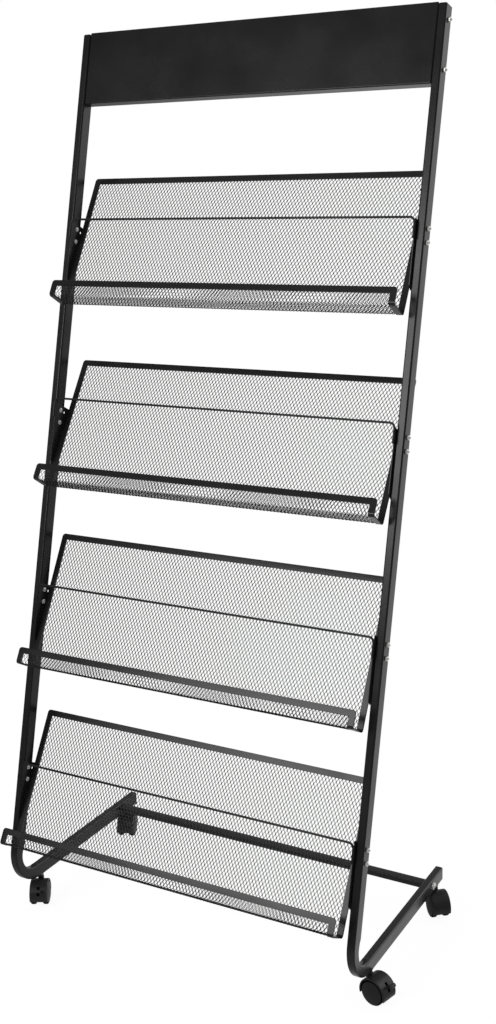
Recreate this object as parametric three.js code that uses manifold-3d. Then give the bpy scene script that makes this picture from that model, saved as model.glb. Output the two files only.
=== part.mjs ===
// Mobile display rack for periodicals. Two bent tube side frames on casters, joined by a header panel and a
// rear crossbar, carry four tilted mesh trays on bolted side brackets. Millimetres, +Z up, front towards -Y.
import * as THREE from "three";
import { mergeGeometries, mergeVertices } from "three/addons/utils/BufferGeometryUtils.js";
import Module from "manifold-3d";

const wasm = await Module();
wasm.setup();

// Overall size
const OVERALL_WIDTH = 630; // over the outer faces of the two posts
const BASE_DEPTH = 360; // front of the bends to the rear ends of the feet
const POST_HEIGHT = 1440.5; // floor to the top of the posts, at their front face
const FOOT_HEIGHT = 48.5; // floor to the underside of the feet
const CLEARANCE = 0.3; // gap between pieces that touch

// Side frames: one rectangular tube each, bent from the leaning post into the level foot
const POST_LEAN = 13.9; // degrees back from upright
const TUBE_WIDTH = 13; // across the rack
const TUBE_DEPTH = 23; // front to back on the post, bottom to top on the foot
const TUBE_WALL = 1.2;
const TUBE_CORNER = 2.5;
const BEND_RADIUS = 61; // outer face of the bend
const BEND_STEPS = 8;
const DENT_DEPTH = 5; // how far bending presses in the inside of the bend
const CREASE_DEPTH = 2.5; // groove along the middle of the dent
const CREASE_WIDTH = 7.5;
const CREASE_TIP = 2; // width at the bottom of the groove
const CAP_THICKNESS = 2.5;
const CAP_CHAMFER = 1.5;
const CAP_PLUG_LENGTH = 12;

// Header panel: a folded tray, open at the back, between the tops of the posts
const HEADER_HEIGHT = 116;
const HEADER_DEPTH = 18;
const HEADER_RISE = 2; // above the post tops
const HEADER_SETBACK = 1.5; // behind the posts' front faces
const HEADER_SHEET = 1.2;
const HEADER_BOLT_DROP = 22; // upper bolt below the post tops
const HEADER_BOLT_SPACING = 71;

// Rear crossbar: a small rectangular tube between the feet
const CROSSBAR_DEPTH = 15;
const CROSSBAR_HEIGHT = 10;
const CROSSBAR_WALL = 1;
const CROSSBAR_INSET = 48; // its centre from the rear ends of the feet
const CROSSBAR_RISE = 13; // its centre above the undersides of the feet

// Trays: one bent sheet of expanded metal, with a channel folded over its edges
const TRAY_BACK = 229; // corner at the floor to the top edge
const TRAY_FLOOR = 38; // back to lip
const TRAY_LIP = 26;
const TRAY_BEND = 4; // middle of the sheet
const TRAY_FORWARD = 12; // lower back corner in front of the posts' front faces
const LOWEST_TRAY = 141.25; // lower back corner from the floor line, along the post
const TRAY_SPACING = 299; // along the post
const TRAY_NAMES = ["bottom_tray", "lower_tray", "upper_tray", "top_tray"];
const TRAY_TILTS = [30.3, 29.3, 33, 30]; // degrees back from upright, as each tray was set on its bolts
const MESH_THICKNESS = 1;
const RIM_WIDTH = 10;
const RIM_THICKNESS = 2.6;
const RIM_WEB = 0.8; // metal around the outer edge of the channel

// Net openings, fewer and larger than those of the real sheet
const NET_COLUMNS = 8;
const NET_ROWS = 4; // on the back of the tray
const NET_STRAND = 8; // solid metal between two openings
const NET_MARGIN = 3; // solid metal along the rim and the bends

// Side brackets, between tray and post, each with two bolts through the post
const BRACKET_THICKNESS = 1.4;
const BRACKET_REACH = 5; // in front of the posts' front faces
const BRACKET_FOOT = 40; // lower end, up the tray's back
const BRACKET_FRONT_FOOT = 44; // lower front corner, up the post from the tray's corner
const BRACKET_TOP = 138; // upper end, up the tray's back
const BRACKET_OVERLAP = 4; // past the tray's back
const BRACKET_FRONT_TOP = 140; // upper front corner, up the post from the tray's corner
const BRACKET_BOLT_RISE = 127; // upper bolt, up the post from the tray's corner
const BRACKET_BOLT_SPACING = 20;
const BRACKET_BOLT_DEPTH = 10; // behind the posts' front faces
const JIG_HOLE_RADIUS = 2;
const JIG_HOLE_DEPTH = 21; // behind the posts' front faces
const JIG_HOLE_RISE = 124; // up the post from the tray's corner

// Retaining wire across the front of each tray, with its ends turned down onto the brackets
const WIRE_RADIUS = 1.75;
const WIRE_RISES = [136.5, 136.5, 146, 140.5]; // up the post from each tray's corner
const WIRE_BEND = 8;
const WIRE_LEG = 30;

// Bolts of the trays and the header
const BOLT_RADIUS = 2;
const BOLT_HOLE_CLEARANCE = 0.6;
const BOLT_HEAD_RADIUS = 4;
const BOLT_HEAD_HEIGHT = 2.6;
const BOLT_END = 2; // thread past the nut
const NUT_RADIUS = 4; // over the corners
const NUT_HEIGHT = 3.2;

// Bolts of the crossbar, from the outer faces of the feet
const CROSSBAR_BOLT_RADIUS = 3;
const CROSSBAR_BOLT_HEAD_RADIUS = 6;
const CROSSBAR_BOLT_HEAD_HEIGHT = 3.6;
const CROSSBAR_BOLT_LENGTH = 35;

// Casters: twin wheels under a hood that swivels on a stem
const FRONT_CASTER_SETBACK = 69; // stem from the front of the bends
const REAR_CASTER_INSET = 20; // stem from the rear ends of the feet
const CASTER_TRAIL = 15; // stem to axle
const WHEEL_RADIUS = 20;
const WHEEL_WIDTH = 9.1; // tread, from the inner face
const WHEEL_CROWN = 2.5; // domed outer face past the tread
const WHEEL_WALL = 3.5; // plastic left past the end of the axle
const WHEEL_ROUND = 2.7; // edges of the tread
const HOOD_GAP = 1;
const HOOD_WALL = 2.3;
const HOOD_ROUND = 1.5;
const HOOD_SKIRT = 13.6; // floor to the lower edge of the hood
const HOOD_WEB = 11.4; // thickness of the middle wall between the wheels
const HOOD_WEB_BOTTOM = 14.5; // floor to the middle wall
const BOSS_RADIUS = 5.2;
const BOSS_TOP = 44; // floor to the top of the boss
const STEM_RADIUS = 3;
const STEM_ENTRY = 13; // stem inside the boss
const STEM_RISE = 9; // stem inside the foot
const COLLAR_RADIUS = 4.6;
const COLLAR_HEIGHT = 1.5;
const STEM_NUT_RADIUS = 5.8; // over the corners
const AXLE_RADIUS = 2.5;
const CASTERS = [
  { name: "front_left_caster", side: -1, front: true, heading: -62 },
  { name: "front_right_caster", side: 1, front: true, heading: -14 },
  { name: "rear_left_caster", side: -1, front: false, heading: -69 },
  { name: "rear_right_caster", side: 1, front: false, heading: -49 },
]; // heading: degrees from +X to the side that trails

// Brake levers, on the front casters
const LEVER_ANGLE = 32; // degrees above level
const LEVER_WIDTH = 4.5;
const LEVER_THICKNESS = 4.5;
const LEVER_START = 10; // from the axle
const LEVER_END = 35.5;
const LEVER_PIVOT = 14; // from the axle
const LEVER_PIN_RADIUS = 1.5;
const LEVER_PIN_LENGTH = 8;
const LEVER_SLOT_BELOW = 7.5; // room for the swing, from the lever's middle
const LEVER_SLOT_ABOVE = 7.5;
const PAD_WIDTH = 12;
const PAD_LENGTH = 5;
const PAD_THICKNESS = 5.5;

// Facets around round pieces
const WHEEL_FACETS = 20;
const HOOD_FACETS = 24;
const PIN_FACETS = 6;
const HEAD_FACETS = 8;
const STEM_FACETS = 10;
const AXLE_FACETS = 12;
const CREASE_FACETS = 28;
const CORNER_STEPS = 1;
const WIRE_STEPS = 3;
const NUT_FACETS = 6;

const FINISHES = {
  powderCoat: { color: 0x2b2b2c, roughness: 0.5, metalness: 0.2 },
  mesh: { color: 0x232324, roughness: 0.55, metalness: 0.2 },
  plastic: { color: 0x1c1c1d, roughness: 0.45, metalness: 0 },
  tread: { color: 0x262626, roughness: 0.7, metalness: 0 },
  zinc: { color: 0xb9bbbd, roughness: 0.35, metalness: 0.9 },
};

const radians = THREE.MathUtils.degToRad;

// Derived sizes
const lean = radians(POST_LEAN);
const halfWidth = OVERALL_WIDTH / 2;
const tubeInnerFace = halfWidth - TUBE_WIDTH;
const tubeCentre = halfWidth - TUBE_WIDTH / 2;
const trayHalfWidth = tubeInnerFace - BRACKET_THICKNESS - 2 * CLEARANCE;
const postTop = POST_HEIGHT / Math.cos(lean); // along the post from the floor line
const footCentre = FOOT_HEIGHT + TUBE_DEPTH / 2;
const bendCentre = new THREE.Vector3(
  0,
  Math.tan(lean) * (FOOT_HEIGHT + BEND_RADIUS) + BEND_RADIUS / Math.cos(lean),
  FOOT_HEIGHT + BEND_RADIUS,
);
const footFront = bendCentre.y - BEND_RADIUS;
const footRear = footFront + BASE_DEPTH;
const lowerWheelFace = HOOD_WEB / 2 + CLEARANCE;
const boltHoleRadius = BOLT_RADIUS + BOLT_HOLE_CLEARANCE;

// A point in the side view: depth behind the posts' front faces, distance up the post from the floor line.
function postPoint(depth, along) {
  const y = along * Math.sin(lean) + depth * Math.cos(lean);
  const z = along * Math.cos(lean) - depth * Math.sin(lean);
  return new THREE.Vector3(0, y, z);
}

// Turns a three.js geometry into a solid that can be joined and cut.
function solid(geometry) {
  const bare = geometry.clone().deleteAttribute("normal").deleteAttribute("uv");
  const merged = mergeVertices(bare, 1e-4);
  const shell = new wasm.Mesh({
    numProp: 3,
    vertProperties: merged.getAttribute("position").array,
    triVerts: new Uint32Array(merged.index.array),
  });
  return new wasm.Manifold(shell);
}

// Makes a named mesh of a solid, with a material of its own.
function part(name, made, finish) {
  const shell = made.getMesh();
  const geometry = new THREE.BufferGeometry();
  geometry.setAttribute("position", new THREE.BufferAttribute(shell.vertProperties, 3));
  geometry.setIndex(new THREE.BufferAttribute(shell.triVerts, 1));
  geometry.computeVertexNormals();
  const mesh = new THREE.Mesh(geometry, new THREE.MeshStandardMaterial(finish));
  mesh.name = name;
  return mesh;
}

function box(sizeX, sizeY, sizeZ, x, y, z) {
  return solid(new THREE.BoxGeometry(sizeX, sizeY, sizeZ).translate(x, y, z));
}

// A cylinder along +Z between two heights.
function post(radius, facets, from, to) {
  const geometry = new THREE.CylinderGeometry(radius, radius, to - from, facets);
  return geometry.rotateX(Math.PI / 2).translate(0, 0, (from + to) / 2);
}

// A cylinder along X between two places, centred on a point of the side view.
function crossPin(radius, facets, from, to, point) {
  const low = Math.min(from, to);
  const high = Math.max(from, to);
  const turned = post(radius, facets, low, high).rotateY(Math.PI / 2);
  return solid(turned.translate(0, point.y, point.z));
}

function rectangle(width, height) {
  const corners = [[-1, -1], [1, -1], [1, 1], [-1, 1]];
  return new THREE.Shape(corners.map(([x, y]) => new THREE.Vector2((x * width) / 2, (y * height) / 2)));
}

function roundedRectangle(width, height, radius) {
  const shape = new THREE.Shape();
  const x = width / 2 - radius;
  const y = height / 2 - radius;
  shape.absarc(x, y, radius, 0, Math.PI / 2);
  shape.absarc(-x, y, radius, Math.PI / 2, Math.PI);
  shape.absarc(-x, -y, radius, Math.PI, 1.5 * Math.PI);
  shape.absarc(x, -y, radius, 1.5 * Math.PI, 2 * Math.PI);
  return shape;
}

// Extrudes a side-view outline (Y, Z) across the rack, between two places on X.
function acrossRack(shape, from, to, curveSegments) {
  const options = { depth: to - from, bevelEnabled: false, curveSegments };
  const geometry = new THREE.ExtrudeGeometry(shape, options);
  const xAxis = new THREE.Vector3(1, 0, 0);
  const yAxis = new THREE.Vector3(0, 1, 0);
  const zAxis = new THREE.Vector3(0, 0, 1);
  geometry.applyMatrix4(new THREE.Matrix4().makeBasis(yAxis, zAxis, xAxis));
  return solid(geometry.translate(from, 0, 0));
}

// A path of straight runs with rounded corners, sampled at its own ends and evenly around each corner.
class RoundedPath extends THREE.Curve {
  constructor(corners, radius, steps) {
    super();
    const last = corners.length - 1;
    const direction = (i) => corners[i + 1].clone().sub(corners[i]).normalize();
    this.stations = [{ point: corners[0], tangent: direction(0) }];
    for (let i = 1; i < last; i += 1) {
      this.addCorner(corners[i], direction(i - 1), direction(i), radius, steps);
    }
    this.stations.push({ point: corners[last], tangent: direction(last - 1) });
  }

  addCorner(corner, into, outOf, radius, steps) {
    const turn = into.angleTo(outOf);
    const start = corner.clone().addScaledVector(into, -radius * Math.tan(turn / 2));
    const side = outOf.clone().addScaledVector(into, -into.dot(outOf)).normalize();
    for (let k = 0; k <= steps; k += 1) {
      const angle = (turn * k) / steps;
      const point = start.clone().addScaledVector(into, radius * Math.sin(angle));
      point.addScaledVector(side, radius * (1 - Math.cos(angle)));
      const tangent = into.clone().multiplyScalar(Math.cos(angle));
      this.stations.push({ point, tangent: tangent.addScaledVector(side, Math.sin(angle)) });
    }
  }

  get steps() {
    return this.stations.length - 1;
  }

  getPointAt(share) {
    return this.stations[Math.round(share * this.steps)].point.clone();
  }

  getTangentAt(share) {
    return this.stations[Math.round(share * this.steps)].tangent.clone();
  }
}

function sweep(shape, path, curveSegments) {
  return solid(new THREE.ExtrudeGeometry(shape, { steps: path.steps, extrudePath: path, curveSegments }));
}

// A bolt along +Z, with its head below the origin.
function bolt(radius, headRadius, headHeight, length) {
  const shank = solid(post(radius, PIN_FACETS, -headHeight / 2, length));
  return shank.add(solid(post(headRadius, HEAD_FACETS, -headHeight, 0)));
}

// A bolt along +Z with a nut at the end of its grip, and some thread past the nut.
function boltAndNut(grip) {
  const length = grip + NUT_HEIGHT + BOLT_END;
  const nut = solid(post(NUT_RADIUS, NUT_FACETS, grip, grip + NUT_HEIGHT));
  return bolt(BOLT_RADIUS, BOLT_HEAD_RADIUS, BOLT_HEAD_HEIGHT, length).add(nut);
}

// Lays a solid built along +Z outwards along X on one side of the rack, from a place on X.
function outwards(made, side, x, point) {
  const turned = made.rotate([0, 90 * side, 0]);
  return turned.translate([side * x, point.y, point.z]);
}

const headerBolts = ["upper", "lower"].map((level, i) => ({
  level,
  point: postPoint(TUBE_DEPTH / 2, postTop - HEADER_BOLT_DROP - i * HEADER_BOLT_SPACING),
}));
const crossbarPoint = new THREE.Vector3(0, footRear - CROSSBAR_INSET, FOOT_HEIGHT + CROSSBAR_RISE);

const trays = TRAY_NAMES.map((name, i) => {
  const along = LOWEST_TRAY + i * TRAY_SPACING;
  const tilt = radians(TRAY_TILTS[i]);
  const corner = postPoint(-TRAY_FORWARD, along);
  const bolts = [0, 1].map((k) =>
    postPoint(BRACKET_BOLT_DEPTH, along + BRACKET_BOLT_RISE - k * BRACKET_BOLT_SPACING),
  );
  return { name, along, tilt, corner, bolts, wireRise: WIRE_RISES[i] };
});

const casters = CASTERS.map((caster) => ({
  ...caster,
  x: caster.side * tubeCentre,
  y: caster.front ? footFront + FRONT_CASTER_SETBACK : footRear - REAR_CASTER_INSET,
}));

// Centre line of a side frame, with its ends run on by some length.
function framePath(side, runOn) {
  const x = side * tubeCentre;
  const along = (footCentre + (TUBE_DEPTH / 2) * Math.sin(lean)) / Math.cos(lean);
  const top = postPoint(TUBE_DEPTH / 2, postTop - CAP_THICKNESS - CLEARANCE + runOn).setX(x);
  const corner = postPoint(TUBE_DEPTH / 2, along).setX(x);
  const rear = new THREE.Vector3(x, footRear - CAP_THICKNESS - CLEARANCE + runOn, footCentre);
  return new RoundedPath([top, corner, rear], BEND_RADIUS - TUBE_DEPTH / 2, BEND_STEPS);
}

// Ridged disc about the centre of the bend, which leaves the dent and its groove on the inside of the bend.
function creaseDisc(side, grow) {
  const dent = BEND_RADIUS - TUBE_DEPTH + DENT_DEPTH + grow;
  const past = TUBE_WIDTH / 2 + 1;
  const profile = [
    new THREE.Vector2(0, -past),
    new THREE.Vector2(dent, -past),
    new THREE.Vector2(dent, -CREASE_WIDTH / 2 - grow),
    new THREE.Vector2(dent + CREASE_DEPTH, -CREASE_TIP / 2 - grow),
    new THREE.Vector2(dent + CREASE_DEPTH, CREASE_TIP / 2 + grow),
    new THREE.Vector2(dent, CREASE_WIDTH / 2 + grow),
    new THREE.Vector2(dent, past),
    new THREE.Vector2(0, past),
  ];
  const disc = new THREE.LatheGeometry(profile, CREASE_FACETS).rotateZ(Math.PI / 2);
  return solid(disc.translate(side * tubeCentre, bendCentre.y, bendCentre.z));
}

function sideFrame(side) {
  const outside = roundedRectangle(TUBE_WIDTH, TUBE_DEPTH, TUBE_CORNER);
  const bore = rectangle(TUBE_WIDTH - 2 * TUBE_WALL, TUBE_DEPTH - 2 * TUBE_WALL);
  let made = sweep(outside, framePath(side, 0), CORNER_STEPS).subtract(creaseDisc(side, 0));
  made = made.subtract(sweep(bore, framePath(side, 1), CORNER_STEPS).subtract(creaseDisc(side, TUBE_WALL)));
  const from = side * (tubeInnerFace - 1);
  const to = side * (halfWidth + 1);
  const drill = (point, radius) => {
    made = made.subtract(crossPin(radius, PIN_FACETS, from, to, point));
  };
  headerBolts.forEach(({ point }) => drill(point, boltHoleRadius));
  trays.forEach((tray) => tray.bolts.forEach((point) => drill(point, boltHoleRadius)));
  drill(crossbarPoint, CROSSBAR_BOLT_RADIUS + BOLT_HOLE_CLEARANCE);
  casters
    .filter((caster) => caster.side === side)
    .forEach((caster) => {
      const hole = post(STEM_RADIUS + CLEARANCE, STEM_FACETS, FOOT_HEIGHT - 1, FOOT_HEIGHT + STEM_RISE);
      made = made.subtract(solid(hole.translate(caster.x, caster.y, 0)));
    });
  return made;
}

// Plastic cap along +Z: chamfered flange above the tube's end, plug inside the tube.
function tubeCap() {
  const outline = roundedRectangle(TUBE_WIDTH, TUBE_DEPTH, TUBE_CORNER);
  const flange = new THREE.ExtrudeGeometry(outline, {
    depth: CAP_THICKNESS,
    bevelThickness: CAP_CHAMFER,
    bevelSize: CAP_CHAMFER,
    bevelOffset: -CAP_CHAMFER,
    bevelSegments: 1,
    curveSegments: CORNER_STEPS,
  }).translate(0, 0, -CAP_CHAMFER);
  const below = 2 * CAP_THICKNESS;
  const slack = 2 * (TUBE_WALL + CLEARANCE);
  const plug = new THREE.ExtrudeGeometry(
    rectangle(TUBE_WIDTH - slack, TUBE_DEPTH - slack),
    { depth: CAP_PLUG_LENGTH + CAP_THICKNESS / 2, bevelEnabled: false },
  ).translate(0, 0, -CAP_PLUG_LENGTH);
  const trim = box(2 * TUBE_DEPTH, 2 * TUBE_DEPTH, below, 0, 0, -below / 2);
  return solid(flange).subtract(trim).add(solid(plug));
}

function headerPanel() {
  const width = 2 * (tubeInnerFace - CLEARANCE);
  const inside = width - 2 * HEADER_SHEET;
  const middle = HEADER_RISE - HEADER_HEIGHT / 2;
  const outer = box(width, HEADER_DEPTH, HEADER_HEIGHT, 0, HEADER_SETBACK + HEADER_DEPTH / 2, middle);
  const hollowY = HEADER_SETBACK + HEADER_SHEET + HEADER_DEPTH / 2;
  const hollow = box(inside, HEADER_DEPTH, HEADER_HEIGHT - 2 * HEADER_SHEET, 0, hollowY, middle);
  let made = outer.subtract(hollow);
  [0, 1].forEach((i) => {
    const height = -HEADER_BOLT_DROP - i * HEADER_BOLT_SPACING;
    const point = new THREE.Vector3(0, TUBE_DEPTH / 2, height);
    made = made.subtract(crossPin(boltHoleRadius, PIN_FACETS, -halfWidth, halfWidth, point));
  });
  return made;
}

function crossbar() {
  const length = 2 * (tubeInnerFace - CLEARANCE);
  const { y, z } = crossbarPoint;
  const outer = box(length, CROSSBAR_DEPTH, CROSSBAR_HEIGHT, 0, y, z);
  const boreDepth = CROSSBAR_DEPTH - 2 * CROSSBAR_WALL;
  const boreHeight = CROSSBAR_HEIGHT - 2 * CROSSBAR_WALL;
  return outer.subtract(box(length + 2, boreDepth, boreHeight, 0, y, z));
}

// Side outline of a tray's sheet, in the tray's own frame: back up +Z, floor towards -Y, lip up again.
function trayOutline(trim, thickness) {
  const half = thickness / 2;
  const outer = TRAY_BEND + half;
  const inner = TRAY_BEND - half;
  const front = -TRAY_FLOOR;
  const quarter = Math.PI / 2;
  const shape = new THREE.Shape();
  shape.moveTo(front - half, TRAY_LIP - trim);
  shape.lineTo(front - half, TRAY_BEND);
  shape.absarc(front + TRAY_BEND, TRAY_BEND, outer, 2 * quarter, 3 * quarter);
  shape.absarc(-TRAY_BEND, TRAY_BEND, outer, -quarter, 0);
  shape.lineTo(half, TRAY_BACK - trim);
  shape.lineTo(-half, TRAY_BACK - trim);
  shape.absarc(-TRAY_BEND, TRAY_BEND, inner, 0, -quarter, true);
  shape.absarc(front + TRAY_BEND, TRAY_BEND, inner, -quarter, -2 * quarter, true);
  shape.lineTo(front + half, TRAY_LIP - trim);
  shape.closePath();
  return shape;
}

function traySheet(trim, thickness) {
  const half = trayHalfWidth - trim;
  return acrossRack(trayOutline(trim, thickness), -half, half, CORNER_STEPS);
}

function trayRim() {
  const window = traySheet(RIM_WIDTH, 2 * RIM_THICKNESS);
  const slot = traySheet(RIM_WEB, MESH_THICKNESS + 2 * CLEARANCE);
  return traySheet(0, RIM_THICKNESS).subtract(window).subtract(slot);
}

// A row of diamond prisms along X, upright on the XY plane and centred on it.
function diamondRow(count, shift, pitch, width, height) {
  const shape = new THREE.Shape();
  shape.moveTo(-width / 2, 0);
  shape.lineTo(0, -height / 2);
  shape.lineTo(width / 2, 0);
  shape.lineTo(0, height / 2);
  shape.closePath();
  const reach = 2 * RIM_THICKNESS;
  return Array.from({ length: count }, (_, i) => {
    const geometry = new THREE.ExtrudeGeometry(shape, { depth: reach, bevelEnabled: false });
    return geometry.translate((i - (count - 1) / 2) * pitch + shift, 0, -reach / 2);
  });
}

function trayMesh() {
  const openWidth = 2 * (trayHalfWidth - RIM_WIDTH - NET_MARGIN);
  const pitch = openWidth / NET_COLUMNS;
  const width = pitch - NET_STRAND;
  const low = TRAY_BEND + NET_MARGIN;
  const rowStep = (TRAY_BACK - RIM_WIDTH - NET_MARGIN - low) / (NET_ROWS + 1);
  const height = 2 * rowStep - NET_STRAND;
  const upright = (geometry) => geometry.rotateX(Math.PI / 2);
  const gaps = [];
  for (let row = 0; row < NET_ROWS; row += 1) {
    const count = NET_COLUMNS - (row % 2);
    const rise = low + (row + 1) * rowStep;
    diamondRow(count, 0, pitch, width, height).forEach((geometry) => {
      gaps.push(upright(geometry).translate(0, 0, rise));
    });
  }
  const floorSpan = TRAY_FLOOR - 2 * low;
  diamondRow(NET_COLUMNS, 0, pitch, width, floorSpan).forEach((geometry) => {
    gaps.push(geometry.translate(0, -TRAY_FLOOR / 2, 0));
  });
  const lipSpan = TRAY_LIP - RIM_WIDTH - low;
  diamondRow(NET_COLUMNS, 0, pitch, width, lipSpan).forEach((geometry) => {
    gaps.push(upright(geometry).translate(0, -TRAY_FLOOR, low + lipSpan / 2));
  });
  const sheet = traySheet(RIM_WEB + CLEARANCE, MESH_THICKNESS);
  return sheet.subtract(solid(mergeGeometries(gaps)));
}

// A point of the rack's side view, from a height up the tray's back and a distance behind it.
function trayPoint(tray, up, behind) {
  const y = tray.corner.y + up * Math.sin(tray.tilt) + behind * Math.cos(tray.tilt);
  const z = tray.corner.z + up * Math.cos(tray.tilt) - behind * Math.sin(tray.tilt);
  return new THREE.Vector3(0, y, z);
}

function trayBracket(tray, side) {
  const outline = [
    trayPoint(tray, BRACKET_FOOT, BRACKET_OVERLAP),
    trayPoint(tray, BRACKET_TOP, BRACKET_OVERLAP),
    postPoint(-BRACKET_REACH, tray.along + BRACKET_FRONT_TOP),
    postPoint(-BRACKET_REACH, tray.along + BRACKET_FRONT_FOOT),
  ];
  const shape = new THREE.Shape(outline.map((point) => new THREE.Vector2(point.y, point.z)));
  const inner = trayHalfWidth + CLEARANCE;
  const outer = inner + BRACKET_THICKNESS;
  const low = Math.min(side * inner, side * outer);
  let made = acrossRack(shape, low, low + BRACKET_THICKNESS, 1);
  const jigHole = postPoint(JIG_HOLE_DEPTH, tray.along + JIG_HOLE_RISE);
  const past = BRACKET_THICKNESS;
  made = made.subtract(
    crossPin(JIG_HOLE_RADIUS, PIN_FACETS, side * (inner - past), side * (outer + past), jigHole),
  );
  const grip = halfWidth + CLEARANCE - inner;
  tray.bolts.forEach((point) => {
    made = made.add(outwards(boltAndNut(grip), side, inner, point));
  });
  return made;
}

function trayWire(tray) {
  const depth = -BRACKET_REACH - CLEARANCE - WIRE_RADIUS;
  const x = trayHalfWidth + CLEARANCE + BRACKET_THICKNESS / 2;
  const top = postPoint(depth, tray.along + tray.wireRise);
  const low = postPoint(depth, tray.along + tray.wireRise - WIRE_LEG);
  const corners = [low.clone().setX(-x), top.clone().setX(-x), top.clone().setX(x), low.clone().setX(x)];
  const round = new THREE.Shape().absarc(0, 0, WIRE_RADIUS, 0, 2 * Math.PI);
  return sweep(round, new RoundedPath(corners, WIRE_BEND, WIRE_STEPS), WIRE_STEPS);
}

// Pieces of a caster, in its own frame: stem on the Z axis, wheels trailing along +X, axle along Y.
function casterStem() {
  const collarLow = BOSS_TOP + CLEARANCE;
  const collarHigh = collarLow + COLLAR_HEIGHT;
  const pin = solid(post(STEM_RADIUS, STEM_FACETS, BOSS_TOP - STEM_ENTRY, FOOT_HEIGHT + STEM_RISE));
  const collar = solid(post(COLLAR_RADIUS, STEM_FACETS, collarLow, collarHigh));
  const nut = solid(post(STEM_NUT_RADIUS, NUT_FACETS, collarHigh - 1, FOOT_HEIGHT - CLEARANCE));
  return pin.add(collar).add(nut);
}

// A solid of revolution about the caster's axle.
function aboutAxle(profile, facets) {
  const points = profile.map(([radius, along]) => new THREE.Vector2(radius, along));
  return solid(new THREE.LatheGeometry(points, facets).translate(CASTER_TRAIL, 0, WHEEL_RADIUS));
}

function axlePin(radius, reach) {
  const profile = [[0, -reach], [radius, -reach], [radius, reach], [0, reach]];
  return aboutAxle(profile, AXLE_FACETS);
}

function axleReach() {
  return lowerWheelFace + WHEEL_WIDTH + WHEEL_CROWN - WHEEL_WALL;
}

function casterWheel(side) {
  const face = lowerWheelFace;
  const tread = face + WHEEL_WIDTH;
  const dome = WHEEL_RADIUS * Math.SQRT1_2;
  const profile = [
    [0, face],
    [WHEEL_RADIUS - WHEEL_ROUND, face],
    [WHEEL_RADIUS, face + WHEEL_ROUND],
    [WHEEL_RADIUS, tread - WHEEL_ROUND],
    [WHEEL_RADIUS - WHEEL_ROUND, tread],
    [dome, tread + WHEEL_CROWN / 2],
    [0, tread + WHEEL_CROWN],
  ];
  const turned = side > 0 ? profile : profile.map(([radius, along]) => [radius, -along]).reverse();
  const bore = axlePin(AXLE_RADIUS + CLEARANCE, axleReach() + CLEARANCE);
  return aboutAxle(turned, WHEEL_FACETS).subtract(bore);
}

// The lever's frame: X outwards from the axle along the lever, Z across it.
function onLever(made) {
  return made.rotate([0, -LEVER_ANGLE, 0]).translate([CASTER_TRAIL, 0, WHEEL_RADIUS]);
}

function alongY(geometry) {
  return geometry.rotateX(Math.PI / 2);
}

function casterHood(braked) {
  const inside = WHEEL_RADIUS + HOOD_GAP;
  const outside = inside + HOOD_WALL;
  const edge = lowerWheelFace + WHEEL_WIDTH;
  const band = aboutAxle(
    [
      [inside, -edge],
      [outside - HOOD_ROUND, -edge],
      [outside, HOOD_ROUND - edge],
      [outside, edge - HOOD_ROUND],
      [outside - HOOD_ROUND, edge],
      [inside, edge],
      [inside, -edge],
    ],
    HOOD_FACETS,
  );
  const low = (height) => box(4 * outside, 4 * outside, 2 * outside, CASTER_TRAIL, 0, height - outside);
  const webRadius = inside + HOOD_WALL / 2;
  const web = aboutAxle(
    [[0, -HOOD_WEB / 2], [webRadius, -HOOD_WEB / 2], [webRadius, HOOD_WEB / 2], [0, HOOD_WEB / 2]],
    HOOD_FACETS,
  );
  const drum = aboutAxle([[0, -edge], [inside, -edge], [inside, edge], [0, edge]], HOOD_FACETS);
  const boss = solid(post(BOSS_RADIUS, STEM_FACETS, WHEEL_RADIUS, BOSS_TOP)).subtract(drum);
  let made = band.subtract(low(HOOD_SKIRT)).add(web.subtract(low(HOOD_WEB_BOTTOM))).add(boss);
  const well = BOSS_TOP - STEM_ENTRY - CLEARANCE;
  made = made.subtract(solid(post(STEM_RADIUS + CLEARANCE, STEM_FACETS, well, BOSS_TOP + 1)));
  made = made.subtract(axlePin(AXLE_RADIUS + CLEARANCE, edge));
  if (braked) {
    const slotWidth = LEVER_WIDTH + 2 * CLEARANCE;
    const slotStart = LEVER_START - 2 * CLEARANCE;
    const slotLength = LEVER_END - slotStart;
    const slotHeight = LEVER_SLOT_ABOVE + LEVER_SLOT_BELOW;
    const slotMiddle = (LEVER_SLOT_ABOVE - LEVER_SLOT_BELOW) / 2;
    const slot = box(slotLength, slotWidth, slotHeight, slotStart + slotLength / 2, 0, slotMiddle);
    const pinReach = LEVER_PIN_LENGTH / 2 + CLEARANCE;
    const pinHole = alongY(post(LEVER_PIN_RADIUS + CLEARANCE, PIN_FACETS, -pinReach, pinReach));
    made = made.subtract(onLever(slot)).subtract(onLever(solid(pinHole.translate(LEVER_PIVOT, 0, 0))));
  }
  return made;
}

function brakeLever() {
  const length = LEVER_END - LEVER_START;
  const bar = box(length, LEVER_WIDTH, LEVER_THICKNESS, LEVER_START + length / 2, 0, 0);
  const pad = box(PAD_LENGTH, PAD_WIDTH, PAD_THICKNESS, LEVER_END - PAD_LENGTH / 2, 0, 0);
  const pin = alongY(post(LEVER_PIN_RADIUS, PIN_FACETS, -LEVER_PIN_LENGTH / 2, LEVER_PIN_LENGTH / 2));
  return onLever(bar.add(pad).add(solid(pin.translate(LEVER_PIVOT, 0, 0))));
}

const assembly = new THREE.Group();

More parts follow.
